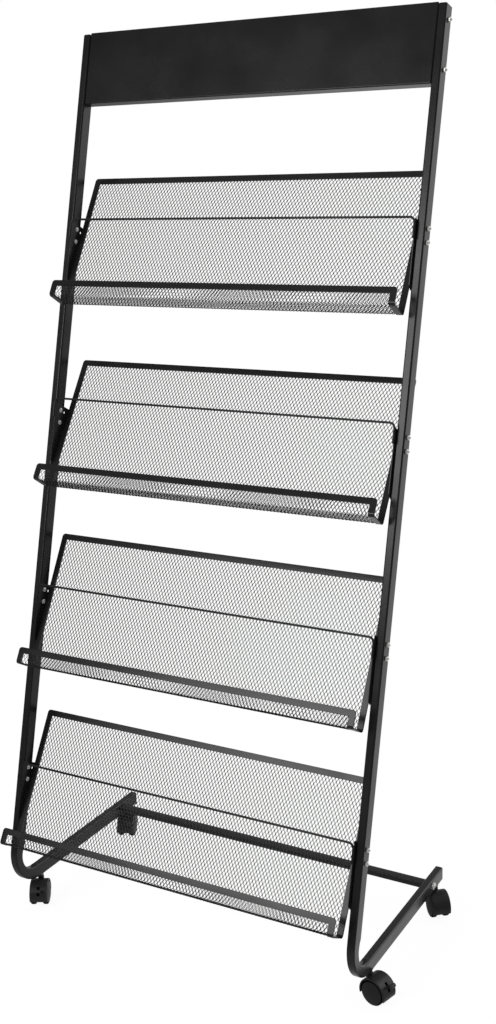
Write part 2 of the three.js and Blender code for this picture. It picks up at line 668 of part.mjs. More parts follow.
const sides = [
  { side: -1, word: "left" },
  { side: 1, word: "right" },
];
sides.forEach(({ side, word }) => {
  assembly.add(part(`${word}_side_frame`, sideFrame(side), FINISHES.powderCoat));
  const postCap = part(`${word}_post_cap`, tubeCap(), FINISHES.plastic);
  postCap.position.copy(postPoint(TUBE_DEPTH / 2, postTop - CAP_THICKNESS).setX(side * tubeCentre));
  postCap.rotation.x = -lean;
  assembly.add(postCap);
  const footCap = part(`${word}_foot_cap`, tubeCap(), FINISHES.plastic);
  footCap.position.set(side * tubeCentre, footRear - CAP_THICKNESS, footCentre);
  footCap.rotation.x = -Math.PI / 2;
  assembly.add(footCap);
  headerBolts.forEach(({ level, point }) => {
    const seat = tubeInnerFace - CLEARANCE - HEADER_SHEET - CLEARANCE;
    const grip = halfWidth + CLEARANCE - seat;
    const made = outwards(boltAndNut(grip), side, seat, point);
    assembly.add(part(`header_${word}_${level}_bolt`, made, FINISHES.zinc));
  });
  const screw = bolt(
    CROSSBAR_BOLT_RADIUS,
    CROSSBAR_BOLT_HEAD_RADIUS,
    CROSSBAR_BOLT_HEAD_HEIGHT,
    CROSSBAR_BOLT_LENGTH,
  ).rotate([0, -90 * side, 0]);
  const seated = screw.translate([side * (halfWidth + CLEARANCE), crossbarPoint.y, crossbarPoint.z]);
  assembly.add(part(`crossbar_${word}_bolt`, seated, FINISHES.zinc));
});

const header = part("header_panel", headerPanel(), FINISHES.powderCoat);
header.position.copy(postPoint(0, postTop));
header.rotation.x = -lean;
assembly.add(header);
assembly.add(part("rear_crossbar", crossbar(), FINISHES.powderCoat));

trays.forEach((tray) => {
  const sheet = new THREE.Group();
  sheet.position.copy(tray.corner);
  sheet.rotation.x = -tray.tilt;
  sheet.add(part(`${tray.name}_mesh`, trayMesh(), FINISHES.mesh));
  sheet.add(part(`${tray.name}_rim`, trayRim(), FINISHES.powderCoat));
  assembly.add(sheet);
  sides.forEach(({ side, word }) => {
    assembly.add(part(`${tray.name}_${word}_bracket`, trayBracket(tray, side), FINISHES.powderCoat));
  });
  assembly.add(part(`${tray.name}_wire`, trayWire(tray), FINISHES.powderCoat));
});

casters.forEach((caster) => {
  const group = new THREE.Group();
  group.position.set(caster.x, caster.y, 0);
  group.rotation.z = radians(caster.heading);
  group.add(part(`${caster.name}_stem`, casterStem(), FINISHES.zinc));
  group.add(part(`${caster.name}_hood`, casterHood(caster.front), FINISHES.plastic));
  group.add(part(`${caster.name}_axle`, axlePin(AXLE_RADIUS, axleReach()), FINISHES.zinc));
  group.add(part(`${caster.name}_left_wheel`, casterWheel(1), FINISHES.tread));
  group.add(part(`${caster.name}_right_wheel`, casterWheel(-1), FINISHES.tread));
  if (caster.front) {
    group.add(part(`${caster.name}_brake_lever`, brakeLever(), FINISHES.plastic));
  }
  assembly.add(group);
});

// Stand the rack on the floor, with the middle of its bounding box over the origin.
const bounds = new THREE.Box3().setFromObject(assembly, true);
const middle = bounds.getCenter(new THREE.Vector3());
assembly.position.set(-middle.x, -middle.y, -bounds.min.z);

const rack = new THREE.Group();
rack.name = "periodical_display_rack";
rack.add(assembly);

export default rack;
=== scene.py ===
"""Looks of a mobile display rack for periodicals: coated tube, expanded metal, zinc bolts and casters.

Shapes are drawn in the rack's own millimetres: x from midway between the posts, y from the line where
the posts' front faces meet the floor, z up from the floor. Bench.keep moves each finished mesh into the
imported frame.
"""

import logging
import math
from dataclasses import dataclass
from enum import Enum
from functools import partial
from typing import Any, Iterable, Sequence

import bmesh
import bpy
from mathutils import Matrix, Vector


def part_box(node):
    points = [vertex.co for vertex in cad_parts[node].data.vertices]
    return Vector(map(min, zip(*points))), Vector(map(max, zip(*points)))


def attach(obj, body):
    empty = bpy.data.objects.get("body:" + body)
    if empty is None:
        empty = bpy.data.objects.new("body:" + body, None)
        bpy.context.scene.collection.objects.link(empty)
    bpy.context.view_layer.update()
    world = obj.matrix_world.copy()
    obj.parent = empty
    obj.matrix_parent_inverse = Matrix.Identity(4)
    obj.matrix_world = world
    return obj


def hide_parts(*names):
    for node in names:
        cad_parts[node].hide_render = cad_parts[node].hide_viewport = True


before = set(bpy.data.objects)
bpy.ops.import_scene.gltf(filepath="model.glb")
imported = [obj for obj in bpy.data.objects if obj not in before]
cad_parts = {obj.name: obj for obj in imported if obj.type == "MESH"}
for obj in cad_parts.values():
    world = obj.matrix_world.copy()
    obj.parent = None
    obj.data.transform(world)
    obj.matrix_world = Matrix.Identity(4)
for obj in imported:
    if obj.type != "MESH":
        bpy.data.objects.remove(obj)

MM = 0.001  # metres in a millimetre
ROUND = 0.5  # a bevel's profile, when it is an arc
HEXAGON = 6  # sides of a nut
log = logging.getLogger("display_rack")

# Inputs of a Mix node by number, because their names repeat, and its output for colours.
SHARE, FIRST_VALUE, SECOND_VALUE, FIRST_COLOUR, SECOND_COLOUR = 0, 2, 3, 6, 7
MIXED_COLOUR = 2

Point = Sequence[float]
Ring = list[Vector]


class Side(Enum):
    """The two sides of the rack, as seen from the front, with their direction along x."""

    LEFT = -1
    RIGHT = 1

    @property
    def word(self) -> str:
        """The side's word in the names of pieces."""
        return self.name.lower()


class Slot(Enum):
    """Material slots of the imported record."""

    POWDER_COAT = "powder_coat"
    MESH = "mesh"
    PLASTIC = "plastic"
    WHEEL = "wheel"
    ZINC = "zinc"


def linear(code: str) -> tuple[float, float, float, float]:
    """Turns an sRGB colour into linear light.

    Args:
        code: Six hex digits after a #.

    Returns:
        Linear red, green, blue, and full alpha.
    """
    shares = [int(code[i : i + 2], 16) / 255 for i in (1, 3, 5)]
    bent = [s / 12.92 if s <= 0.04045 else ((s + 0.055) / 1.055) ** 2.4 for s in shares]
    return (*bent, 1.0)


def add_node(
    tree: bpy.types.NodeTree, kind: str, inputs: dict | Sequence = (), **settings: Any
) -> bpy.types.Node:
    """Adds a node to a tree, with its settings, constants and links.

    Args:
        tree: Shader or geometry tree.
        kind: Blender's name of the node type.
        inputs: Values of its inputs, by name or number, or in their order. A value is a constant, an
            output that feeds the input, or a node whose first output does.
        **settings: Properties of the node itself.

    Returns:
        The new node.
    """
    node = tree.nodes.new(kind)
    for name, value in settings.items():
        setattr(node, name, value)
    for key, value in inputs.items() if isinstance(inputs, dict) else enumerate(inputs):
        if isinstance(value, bpy.types.Node):
            value = value.outputs[0]
        if isinstance(value, bpy.types.NodeSocket):
            tree.links.new(value, node.inputs[key])
        else:
            node.inputs[key].default_value = value
    return node


@dataclass(frozen=True)
class Finish:
    """A surface finish, made into a material once and shared by the pieces that have it."""

    name: str
    slot: Slot
    colour: str
    tint: str  # colour of the patches
    roughness: float
    gloss_spread: float  # how far patches differ in roughness
    grain: float  # millimetres across a bump of the surface
    relief: float  # millimetres from its valleys to its tops
    patch: float  # millimetres across a patch
    metallic: float = 0.0
    shine: float = 0.5  # mirror strength, as the shader counts it
    grain_detail: float = 2.0  # finer layers of noise in the grain
    patch_detail: float = 4.0  # and in the patches
    tint_span: tuple[float, float] = (0.3, 0.7)  # noise where the tint begins, and where it is full

    def material(self) -> bpy.types.Material:
        """The finish as a Blender material."""
        return bpy.data.materials.get(self.name) or self.made()

    def made(self) -> bpy.types.Material:
        """Builds the material.

        Returns:
            A node material whose grain and patches follow the piece's own coordinates.
        """
        material = bpy.data.materials.new(self.name)
        material.use_nodes = True
        tree = material.node_tree
        tree.nodes.clear()
        add = partial(add_node, tree)
        place = add("ShaderNodeTexCoord").outputs["Object"]
        fine = {"Vector": place, "Scale": 1 / (self.grain * MM), "Detail": self.grain_detail}
        grain = add("ShaderNodeTexNoise", fine).outputs["Fac"]
        coarse = {"Vector": place, "Scale": 1 / (self.patch * MM), "Detail": self.patch_detail}
        patch = add("ShaderNodeTexNoise", coarse).outputs["Fac"]
        share = self.tint_share(tree, patch)
        shades = {SHARE: share, FIRST_COLOUR: linear(self.colour), SECOND_COLOUR: linear(self.tint)}
        colour = add("ShaderNodeMix", shades, data_type="RGBA")
        dullness = {"Value": share}
        dullness["To Min"] = self.roughness - self.gloss_spread
        dullness["To Max"] = self.roughness + self.gloss_spread
        bumps = {"Height": grain, "Distance": self.relief * MM, "Strength": 1.0}
        surface = {
            "Base Color": colour.outputs[MIXED_COLOUR],
            "Metallic": self.metallic,
            "Specular IOR Level": self.mirror(tree, share),
            "Roughness": add("ShaderNodeMapRange", dullness),
            "Normal": add("ShaderNodeBump", bumps),
        }
        shader = add("ShaderNodeBsdfPrincipled", surface)
        add("ShaderNodeOutputMaterial", {"Surface": shader})
        return material

    def tint_share(self, tree: bpy.types.NodeTree, noise: bpy.types.NodeSocket) -> bpy.types.Node:
        """How much of the tint shows: the noise, stretched to the full range.

        Args:
            tree: The material's tree.
            noise: Patch noise.

        Returns:
            A share from 0 to 1.
        """
        return add_node(tree, "ShaderNodeMapRange", [noise, *self.tint_span])

    def mirror(self, tree: bpy.types.NodeTree, share: bpy.types.Node) -> float | bpy.types.Node:
        """How strongly the surface mirrors: alike everywhere."""
        return self.shine


@dataclass(frozen=True)
class TreadFinish(Finish):
    """A finish whose tint, here painted shade, and whose dullness follow the piece's own tread attribute,
    a little patchily.
    """

    # the tint on the tread is painted shade of the gap under the hood
    tint_span: tuple[float, float] = (0.1, 0.4)  # noise on the tread where the tint begins and is full
    tread: str = "tread"
    tread_shine: float = 0.08

    def tint_share(self, tree: bpy.types.NodeTree, noise: bpy.types.NodeSocket) -> bpy.types.Node:
        """How much of the painted shade shows: the tread, more in some patches than in others.

        Args:
            tree: The material's tree.
            noise: Patch noise.

        Returns:
            A share from 0 to 1.
        """
        tread = add_node(tree, "ShaderNodeAttribute", attribute_name=self.tread).outputs["Fac"]
        shown = add_node(tree, "ShaderNodeMath", [tread, noise], operation="MULTIPLY")
        return add_node(tree, "ShaderNodeMapRange", [shown, *self.tint_span])

    def mirror(self, tree: bpy.types.NodeTree, share: bpy.types.Node) -> float | bpy.types.Node:
        """How strongly the surface mirrors: the tread hardly does."""
        span = {"Value": share, "To Min": self.shine, "To Max": self.tread_shine}
        return add_node(tree, "ShaderNodeMapRange", span)


# Polyester powder coat on mild steel, sprayed dry and baked: satin black, with the soft orange peel of
# the melted powder, so that highlights are wide and a little wavy. Real peel is about 2 mm across. It is
# drawn twice as coarse here, to show at all.
POWDER_COAT = Finish(
    "satin_powder_coat",
    Slot.POWDER_COAT,
    colour="#1b1b1c",
    tint="#202021",
    roughness=0.25,
    gloss_spread=0.05,
    grain=4.0,
    relief=0.05,
    patch=90.0,
)

# The same coat on the cut and stretched strands of expanded steel: thinner and more broken, so a little
# duller.
STRAND_COAT = Finish(
    "powder_coated_strands",
    Slot.MESH,
    colour="#1c1c1d",
    tint="#242425",
    roughness=0.45,
    gloss_spread=0.08,
    grain=3.0,
    relief=0.04,
    patch=25.0,
)

# Black polyamide, injection moulded against a spark-eroded die: a dull, even black with a fine grain,
# drawn coarser than its real 0.3 mm.
MOULDED_PLASTIC = Finish(
    "moulded_polyamide",
    Slot.PLASTIC,
    colour="#222223",
    tint="#292929",
    roughness=0.42,
    gloss_spread=0.06,
    grain=0.9,
    relief=0.03,
    patch=14.0,
)

# Black polyamide wheels: the domed faces are dull from the die, and the rounded tread hardly mirrors. The
# near-black tint on the tread is painted shade of the dark gap between wheel and hood. The grain is drawn
# coarser than its real 0.3 mm.
WHEEL_PLASTIC = TreadFinish(
    "treaded_polyamide",
    Slot.WHEEL,
    colour="#1a1a1b",
    # near black on the tread: painted shade of the gap under the hood's edge
    tint="#070707",
    roughness=0.6,
    gloss_spread=0.08,
    grain=1.2,
    relief=0.03,
    patch=5.0,
)

# Steel with zinc electroplate under a clear passivation: a pale, cool metal, slightly blue or straw in
# patches. The film is faintly milky, so a part of the light is scattered and the heads stay pale on their
# dark side.
ZINC_PLATE = Finish(
    "clear_zinc_plate",
    Slot.ZINC,
    colour="#f1f4f6",
    tint="#eeece4",
    roughness=0.17,
    gloss_spread=0.08,
    grain=0.7,
    relief=0.015,
    patch=3.0,
    metallic=0.6,
)


@dataclass(frozen=True)
class Station:
    """A place along a path, and the path's direction there."""

    point: Vector
    tangent: Vector


def rounded_path(
    corners: Sequence[Vector], radius: float, steps: int, lead: float = 0.0, lead_steps: int = 0
) -> list[Station]:
    """Lays stations along straight runs that meet in arcs.

    Args:
        corners: Ends of the runs.
        radius: Radius of the arcs.
        steps: Stations around an arc.
        lead: Length of straight run beside each arc that has stations of its own.
        lead_steps: Stations in that length.

    Returns:
        The stations, from the first corner to the last.
    """
    runs = [(b - a).normalized() for a, b in zip(corners, corners[1:])]
    stations = [Station(corners[0], runs[0])]
    for corner, into, out_of in zip(corners[1:], runs, runs[1:]):
        turn = into.angle(out_of)
        start = corner - into * radius * math.tan(turn / 2)
        side = (out_of - into * into.dot(out_of)).normalized()
        for k in range(lead_steps, 0, -1):
            stations.append(Station(start - into * lead * k / lead_steps, into))
        for k in range(steps + 1):
            angle = turn * k / steps
            point = start + radius * (into * math.sin(angle) + side * (1 - math.cos(angle)))
            stations.append(Station(point, into * math.cos(angle) + side * math.sin(angle)))
        end = stations[-1].point
        for k in range(1, lead_steps + 1):
            stations.append(Station(end + out_of * lead * k / lead_steps, out_of))
    stations.append(Station(corners[-1], runs[-1]))
    return stations


def swept(ring: Iterable[Point], stations: Sequence[Station], across: Vector) -> list[Ring]:
    """Rings of a flat outline carried along a path that lies in one plane.

    Args:
        ring: Outline points, as (across the plane, in the plane).
        stations: The path.
        across: Unit normal of the path's plane.

    Returns:
        One ring of points for each station.
    """
    return [[s.point + across * u + across.cross(s.tangent) * v for u, v in ring] for s in stations]


def circle(radius: float, count: int) -> list[tuple[float, float]]:
    """Points around a circle."""
    turns = [2 * math.pi * k / count for k in range(count)]
    return [(radius * math.cos(a), radius * math.sin(a)) for a in turns]


def rounded_rectangle(
    width: float, height: float, radius: float, steps: int
) -> list[tuple[float, float]]:
    """Outline of a rectangle with rounded corners, from the middle of its right side, turning left.

    Args:
        width: Size along the first axis.
        height: Size along the second axis.
        radius: Corner radius.
        steps: Segments in each corner.

    Returns:
        Its points: steps + 1 for each corner.
    """
    points = []
    for quarter, (sx, sy) in enumerate([(1, 1), (-1, 1), (-1, -1), (1, -1)]):
        for k in range(steps + 1):
            angle = (quarter + k / steps) * math.pi / 2
            x = sx * (width / 2 - radius) + radius * math.cos(angle)
            points.append((x, sy * (height / 2 - radius) + radius * math.sin(angle)))
    return points


class Form:
    """A shape being drawn, in millimetres."""

    def __init__(self) -> None:
        """Starts empty."""
        self.bm = bmesh.new()

    def skin(self, rows: Sequence[Sequence[Vector]]) -> "Form":
        """Stretches faces over a row of rings, and fills the first and the last.

        Args:
            rows: Rings with as many points each. A ring of one point is a pole.

        Returns:
            The form.
        """
        made = [[self.bm.verts.new(point) for point in row] for row in rows]
        count = max(len(row) for row in made)
        for low, high in zip(made, made[1:]):
            for k in range(count):
                n = (k + 1) % count
                corners = (low[k % len(low)], low[n % len(low)], high[n % len(high)], high[k % len(high)])
                self.bm.faces.new(dict.fromkeys(corners))
        for row in (made[0], made[-1]):
            if len(row) > 1:
                self.bm.faces.new(row)
        return self.outwards()

    def turn(self, profile: Iterable[Point], segments: int, place: Matrix) -> "Form":
        """Turns a profile about the z axis of a place, and fills its ends.

        Args:
            profile: Points as (radius, along the axis).
            segments: Facets around the axis.
            place: Where the axis lies.

        Returns:
            The form.
        """
        rows = []
        for radius, along in profile:
            around = circle(radius, segments) if radius > 0 else [(0.0, 0.0)]
            rows.append([place @ Vector((x, y, along)) for x, y in around])
        return self.skin(rows)

    def plate(self, outline: Ring, holes: Sequence[Ring], thickness: Vector) -> "Form":
        """Cuts a flat plate.

        Args:
            outline: Corners of one face.
            holes: Corners of each hole in it.
            thickness: From that face to the other.

        Returns:
            The form.
        """
        edges = []
        for loop in (outline, *holes):
            made = [self.bm.verts.new(point) for point in loop]
            edges += [self.bm.edges.new((a, b)) for a, b in zip(made, made[1:] + made[:1])]
        filled = bmesh.ops.triangle_fill(self.bm, use_beauty=True, use_dissolve=False, edges=edges)
        faces = [item for item in filled["geom"] if isinstance(item, bmesh.types.BMFace)]
        raised = bmesh.ops.extrude_face_region(self.bm, geom=faces, use_keep_orig=True)
        moved = [item for item in raised["geom"] if isinstance(item, bmesh.types.BMVert)]
        bmesh.ops.translate(self.bm, verts=moved, vec=thickness)
        return self.outwards()

    def outwards(self) -> "Form":
        """Points every face out."""
        bmesh.ops.recalc_face_normals(self.bm, faces=self.bm.faces)
        return self

    def moved(self, place: Matrix) -> "Form":
        """Moves the form."""
        bmesh.ops.transform(self.bm, matrix=place, verts=self.bm.verts)
        return self

    def joined(self, other: "Form") -> "Form":
        """Adds another form's faces, which stand apart from these."""
        mesh = other.mesh("joined")
        self.bm.from_mesh(mesh)
        bpy.data.meshes.remove(mesh)
        return self

    def softened(self, radius: float, segments: int = 2) -> "Form":
        """Rounds the sharp edges.

        Args:
            radius: Size of the rounding.
            segments: Facets in it.

        Returns:
            The form.
        """
        sharp = math.radians(30)
        edges = [e for e in self.bm.edges if len(e.link_faces) == 2 and e.calc_face_angle() > sharp]
        rounding = {"offset": radius, "segments": segments, "profile": ROUND, "clamp_overlap": True}
        bmesh.ops.bevel(self.bm, geom=edges, affect="EDGES", **rounding)
        return self

    def modified(self, kind: str, **settings: Any) -> "Form":
        """Runs one of Blender's modifiers on the form.

        Args:
            kind: The modifier's type.
            **settings: Its properties. A form given here becomes a scratch object.

        Returns:
            The form, changed.
        """
        item = self.scratch()
        tools = []
        modifier = item.modifiers.new(kind, kind)
        for name, value in settings.items():
            if isinstance(value, Form):
                value = value.scratch()
                tools.append(value)
            setattr(modifier, name, value)
        shape = evaluated_mesh(item)
        self.bm.clear()
        self.bm.from_mesh(shape)
        bpy.data.meshes.remove(shape)
        for done in (item, *tools):
            bpy.data.meshes.remove(done.data)
        return self

    def with_form(self, other: "Form") -> "Form":
        """Fuses another form to this one."""
        return self.modified("BOOLEAN", operation="UNION", solver="EXACT", object=other)

    def without(self, other: "Form") -> "Form":
        """Cuts another form out of this one."""
        return self.modified("BOOLEAN", operation="DIFFERENCE", solver="EXACT", object=other)

    def mesh(self, name: str) -> bpy.types.Mesh:
        """The form as a mesh."""
        mesh = bpy.data.meshes.new(name)
        self.bm.to_mesh(mesh)
        return mesh

    def scratch(self) -> bpy.types.Object:
        """A passing object of the form, in the scene so that modifiers can see it."""
        return linked("scratch", self.mesh("scratch"))


def linked(name: str, data: Any) -> bpy.types.Object:
    """A new object in the scene."""
    item = bpy.data.objects.new(name, data)
    bpy.context.scene.collection.objects.link(item)
    return item


def evaluated_mesh(item: bpy.types.Object) -> bpy.types.Mesh:
    """A plain mesh of an object with its modifiers."""
    graph = bpy.context.evaluated_depsgraph_get()
    return bpy.data.meshes.new_from_object(item.evaluated_get(graph))


@dataclass(frozen=True)
class Rack:
    """Overall sizes of the rack, in millimetres, and its side view."""

    width: float = 630.0  # over the outer faces of the posts
    base_depth: float = 360.0  # front of the bends to the rear ends of the feet
    post_height: float = 1440.5
    foot_height: float = 48.5  # floor to the underside of the feet
    lean: float = math.radians(13.9)
    tube_width: float = 13.0
    tube_depth: float = 23.0
    bend_radius: float = 61.0  # outer face of the bend
    clearance: float = 0.3

    @property
    def half_width(self) -> float:
        """Outer face of a post, from the middle of the rack."""
        return self.width / 2

    @property
    def inner_face(self) -> float:
        """Inner face of a post, from the middle of the rack."""
        return self.half_width - self.tube_width

    @property
    def tube_centre(self) -> float:
        """Middle of a post, from the middle of the rack."""
        return self.half_width - self.tube_width / 2

    @property
    def post_top(self) -> float:
        """Top of a post, along it from the floor line."""
        return self.post_height / math.cos(self.lean)

    @property
    def foot_centre(self) -> float:
        """Middle of a foot, above the floor."""
        return self.foot_height + self.tube_depth / 2

    @property
    def bend_centre(self) -> Vector:
        """Centre of the bends, in the side view."""
        rise = self.foot_height + self.bend_radius
        return Vector((0, math.tan(self.lean) * rise + self.bend_radius / math.cos(self.lean), rise))

    @property
    def foot_front(self) -> float:
        """Front of the bends."""
        return self.bend_centre.y - self.bend_radius

    @property
    def foot_rear(self) -> float:
        """Rear ends of the feet."""
        return self.foot_front + self.base_depth

    def post_frame(self, along: float) -> Matrix:
        """A frame on the posts' front faces: y goes back through the post and z up along it."""
        return Matrix.Rotation(-self.lean, 4, "X") @ Matrix.Translation((0, 0, along))

    def on_post(self, x: float, depth: float, along: float) -> Vector:
        """A point, by its depth behind the posts' front faces and its distance up the post."""
        return self.post_frame(along) @ Vector((x, depth, 0))

    def into_frame(self) -> Matrix:
        """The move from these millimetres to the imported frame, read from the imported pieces.

        Returns:
            A matrix that scales to metres and shifts.
        """
        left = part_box("left_side_frame")[0].x
        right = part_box("right_side_frame")[1].x
        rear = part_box("left_foot_cap")[1].y
        shift = Matrix.Translation(((left + right) / 2, rear - self.foot_rear * MM, 0))
        return shift @ Matrix.Scale(MM, 4)


class Bench:
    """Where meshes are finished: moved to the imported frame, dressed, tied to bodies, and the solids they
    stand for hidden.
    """

    smooth_angle = math.radians(38)

    def __init__(self, rack: Rack) -> None:
        """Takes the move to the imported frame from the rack."""
        self.place = rack.into_frame()

    def smoothed(self, shape: Form, name: str) -> bpy.types.Mesh:
        """A form's mesh, shaded so that flat faces stay flat beside their rounded edges.

        Args:
            shape: The form.
            name: The mesh's name.

        Returns:
            Its mesh, still in the rack's millimetres.
        """
        rough = shape.mesh("rough")
        rough.shade_smooth()
        rough.set_sharp_from_angle(angle=self.smooth_angle)
        item = linked("rough", rough)
        item.modifiers.new("weigh", "WEIGHTED_NORMAL").keep_sharp = True
        mesh = evaluated_mesh(item)
        mesh.name = name
        bpy.data.meshes.remove(rough)
        return mesh

    def keep(
        self,
        name: str,
        shape: Form | bpy.types.Mesh,
        finish: Finish,
        nodes: Sequence[str] = (),
        body: str = "frame",
    ) -> bpy.types.Object:
        """Turns a drawn shape into a piece of the rack.

        Args:
            name: The piece's name.
            shape: Its form or mesh, in the rack's millimetres.
            finish: What covers it.
            nodes: Solids that it stands for.
            body: What it moves with.

        Returns:
            The piece.
        """
        mesh = self.smoothed(shape, name) if isinstance(shape, Form) else shape
        mesh.transform(self.place)
        mesh.materials.clear()
        mesh.materials.append(finish.material())
        piece = linked(name, mesh)
        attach(piece, body)
        if nodes:
            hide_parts(*nodes)
        log.info("%s: %d faces on %s", name, len(mesh.polygons), body)
        return piece


@dataclass(frozen=True)
class SideFrame:
    """A tube bent from the leaning post into the level foot, and the plastic caps in its ends."""

    rack: Rack
    side: Side
    corner: float = 2.5  # outside corner of the tube's section
    corner_steps: int = 6
    bend_steps: int = 30
    dent_depth: float = 6.8  # how far bending presses in the inside of the bend
    dent_radius: float = 32.5  # of the bender's shoe, which presses it in
    dent_turn: float = math.radians(42)  # deepest place, from the start of the bend
    dent_blend: float = 0.6  # softness where the dent runs out
    crease_depth: float = 6.0  # groove along the middle of the dent
    crease_width: float = 8.4
    crease_tip: float = 1.0
    crease_lip: float = 0.9  # how far the edges of the groove stand up
    crease_lip_width: float = 1.0  # half the width of an edge that stands up
    crease_points: int = 21  # across the face that is pressed in
    dent_lead: float = 22.0  # how far the dent runs out past the bend
    dent_lead_steps: int = 16
    cap_thickness: float = 2.5
    cap_chamfer: float = 1.5
    cap_edge: float = 0.3  # rounding at both ends of the chamfer

    @property
    def x(self) -> float:
        """Middle of the tube."""
        return self.side.value * self.rack.tube_centre

    def section(self) -> list[tuple[float, float]]:
        """Outline of the tube, with more points across the inside of the bend."""
        width, depth = self.rack.tube_width, self.rack.tube_depth
        outline = rounded_rectangle(width, depth, self.corner, self.corner_steps)
        first = self.corner_steps + 1
        last = self.crease_points + 1
        half = width / 2 - self.corner
        pressed = [(half - 2 * half * k / last, depth / 2) for k in range(1, last)]
        return outline[:first] + pressed + outline[first:]

    def path(self) -> list[Station]:
        """Centre line, from the top of the post to the rear end of the foot."""
        rack = self.rack
        gap = self.cap_thickness + rack.clearance
        middle = rack.tube_depth / 2
        along = (rack.foot_centre + middle * math.sin(rack.lean)) / math.cos(rack.lean)
        top = rack.on_post(self.x, middle, rack.post_top - gap)
        corner = rack.on_post(self.x, middle, along)
        rear = Vector((self.x, rack.foot_rear - gap, rack.foot_centre))
        radius = rack.bend_radius - middle
        lead = (self.dent_lead, self.dent_lead_steps)
        return rounded_path([top, corner, rear], radius, self.bend_steps, *lead)

    def groove(self, u: float) -> float:
        """Depth of the groove below the dent, at a place across the tube."""
        rim = self.crease_width / 2
        share = min(1.0, max(0.0, (rim - abs(u)) / (rim - self.crease_tip / 2)))
        eased = share * share * (3 - 2 * share)  # level at the rim and at the tip
        lip = max(0.0, 1 - abs(abs(u) - rim) / self.crease_lip_width) ** 2
        return self.crease_depth * eased - self.crease_lip * lip

    def tube(self) -> Form:
        """The tube, with the dent and the groove that bending leaves on the inside of the bend."""
        section = self.section()
        rack = self.rack
        deepest = Matrix.Rotation(self.dent_turn - rack.lean, 3, "X") @ Vector((0, -1, 0))
        offset = rack.bend_radius - rack.tube_depth + self.dent_depth - self.dent_radius
        centre = rack.bend_centre + deepest * offset
        wall = self.corner_steps + 1 + self.crease_points // 2  # middle of the inside wall
        rows = swept(section, self.path(), Vector((1, 0, 0)))
        for ring in rows:
            spoke = Vector((0, ring[wall].y - centre.y, ring[wall].z - centre.z))
            push = max(0.0, self.dent_radius - spoke.length)
            push *= push / (push + self.dent_blend)
            for k, (u, v) in enumerate(section):
                if v > 0:
                    ring[k] += spoke.normalized() * push * (1 + self.groove(u) / self.dent_depth)
        return Form().skin(rows)

    def cap(self, place: Matrix) -> Form:
        """A cap's flange, chamfered all round its face.

        Args:
            place: Seat of the flange, with z pointing out of the tube.

        Returns:
            The flange.
        """
        rows = []
        chamfer = self.cap_chamfer
        edge = self.cap_edge
        for inset, height in (
            (edge, 0.0),
            (0.0, edge),
            (0.0, self.cap_thickness - chamfer - edge / 2),
            (edge / 2, self.cap_thickness - chamfer + edge / 2),
            (chamfer - edge / 2, self.cap_thickness - edge / 2),
            (chamfer + edge, self.cap_thickness),
        ):
            width = self.rack.tube_width - 2 * inset
            depth = self.rack.tube_depth - 2 * inset
            radius = max(self.corner - inset / 2, edge)
            ring = rounded_rectangle(width, depth, radius, self.corner_steps)
            rows.append([place @ Vector((u, v, height)) for u, v in ring])
        return Form().skin(rows)

    def build(self, bench: Bench) -> None:
        """Makes the tube and its caps."""
        rack = self.rack
        word = self.side.word
        bench.keep(f"{word}_frame_tube", self.tube(), POWDER_COAT, [f"{word}_side_frame"])
        middle = Matrix.Translation((self.x, rack.tube_depth / 2, 0))
        post_seat = rack.post_frame(rack.post_top - self.cap_thickness) @ middle
        bench.keep(f"{word}_post_end_cap", self.cap(post_seat), MOULDED_PLASTIC, [f"{word}_post_cap"])
        seat = Matrix.Translation((self.x, rack.foot_rear - self.cap_thickness, rack.foot_centre))
        foot_seat = seat @ Matrix.Rotation(-math.pi / 2, 4, "X")
        bench.keep(f"{word}_foot_end_cap", self.cap(foot_seat), MOULDED_PLASTIC, [f"{word}_foot_cap"])


@dataclass(frozen=True)
class Header:
    """Sheet panel folded back on all four sides, between the tops of the posts."""

    rack: Rack
    height: float = 116.0
    depth: float = 18.0
    rise: float = 2.0  # above the post tops
    setback: float = 1.5  # behind the posts' front faces
    sheet: float = 1.2
    fold: float = 2.0  # outside radius of the folds
    fold_steps: int = 5
    bolt_drop: float = 22.0  # upper bolt below the post tops
    bolt_spacing: float = 71.0

    def build(self, bench: Bench) -> None:
        """Makes the panel, open at the back."""
        half = self.rack.inner_face - self.rack.clearance
        size = Matrix.Diagonal((2 * half, self.depth, self.height, 1))
        middle = Matrix.Translation((0, self.setback + self.depth / 2, self.rise - self.height / 2))
        form = Form()
        bmesh.ops.create_cube(form.bm, size=1, matrix=middle @ size)
        back = max(form.bm.faces, key=lambda face: face.calc_center_median().y)
        bmesh.ops.delete(form.bm, geom=[back], context="FACES_ONLY")
        form.softened(self.fold, self.fold_steps)
        form.modified("SOLIDIFY", thickness=self.sheet, offset=-1.0, use_even_offset=True)
        form.moved(self.rack.post_frame(self.rack.post_top))
        bench.keep("header_sheet", form, POWDER_COAT, ["header_panel"])

    def bolt_points(self, x: float) -> list[Vector]:
        """Middles of the bolts through a post."""
        drops = [self.bolt_drop + k * self.bolt_spacing for k in range(2)]
        return [self.rack.on_post(x, self.rack.tube_depth / 2, self.rack.post_top - d) for d in drops]


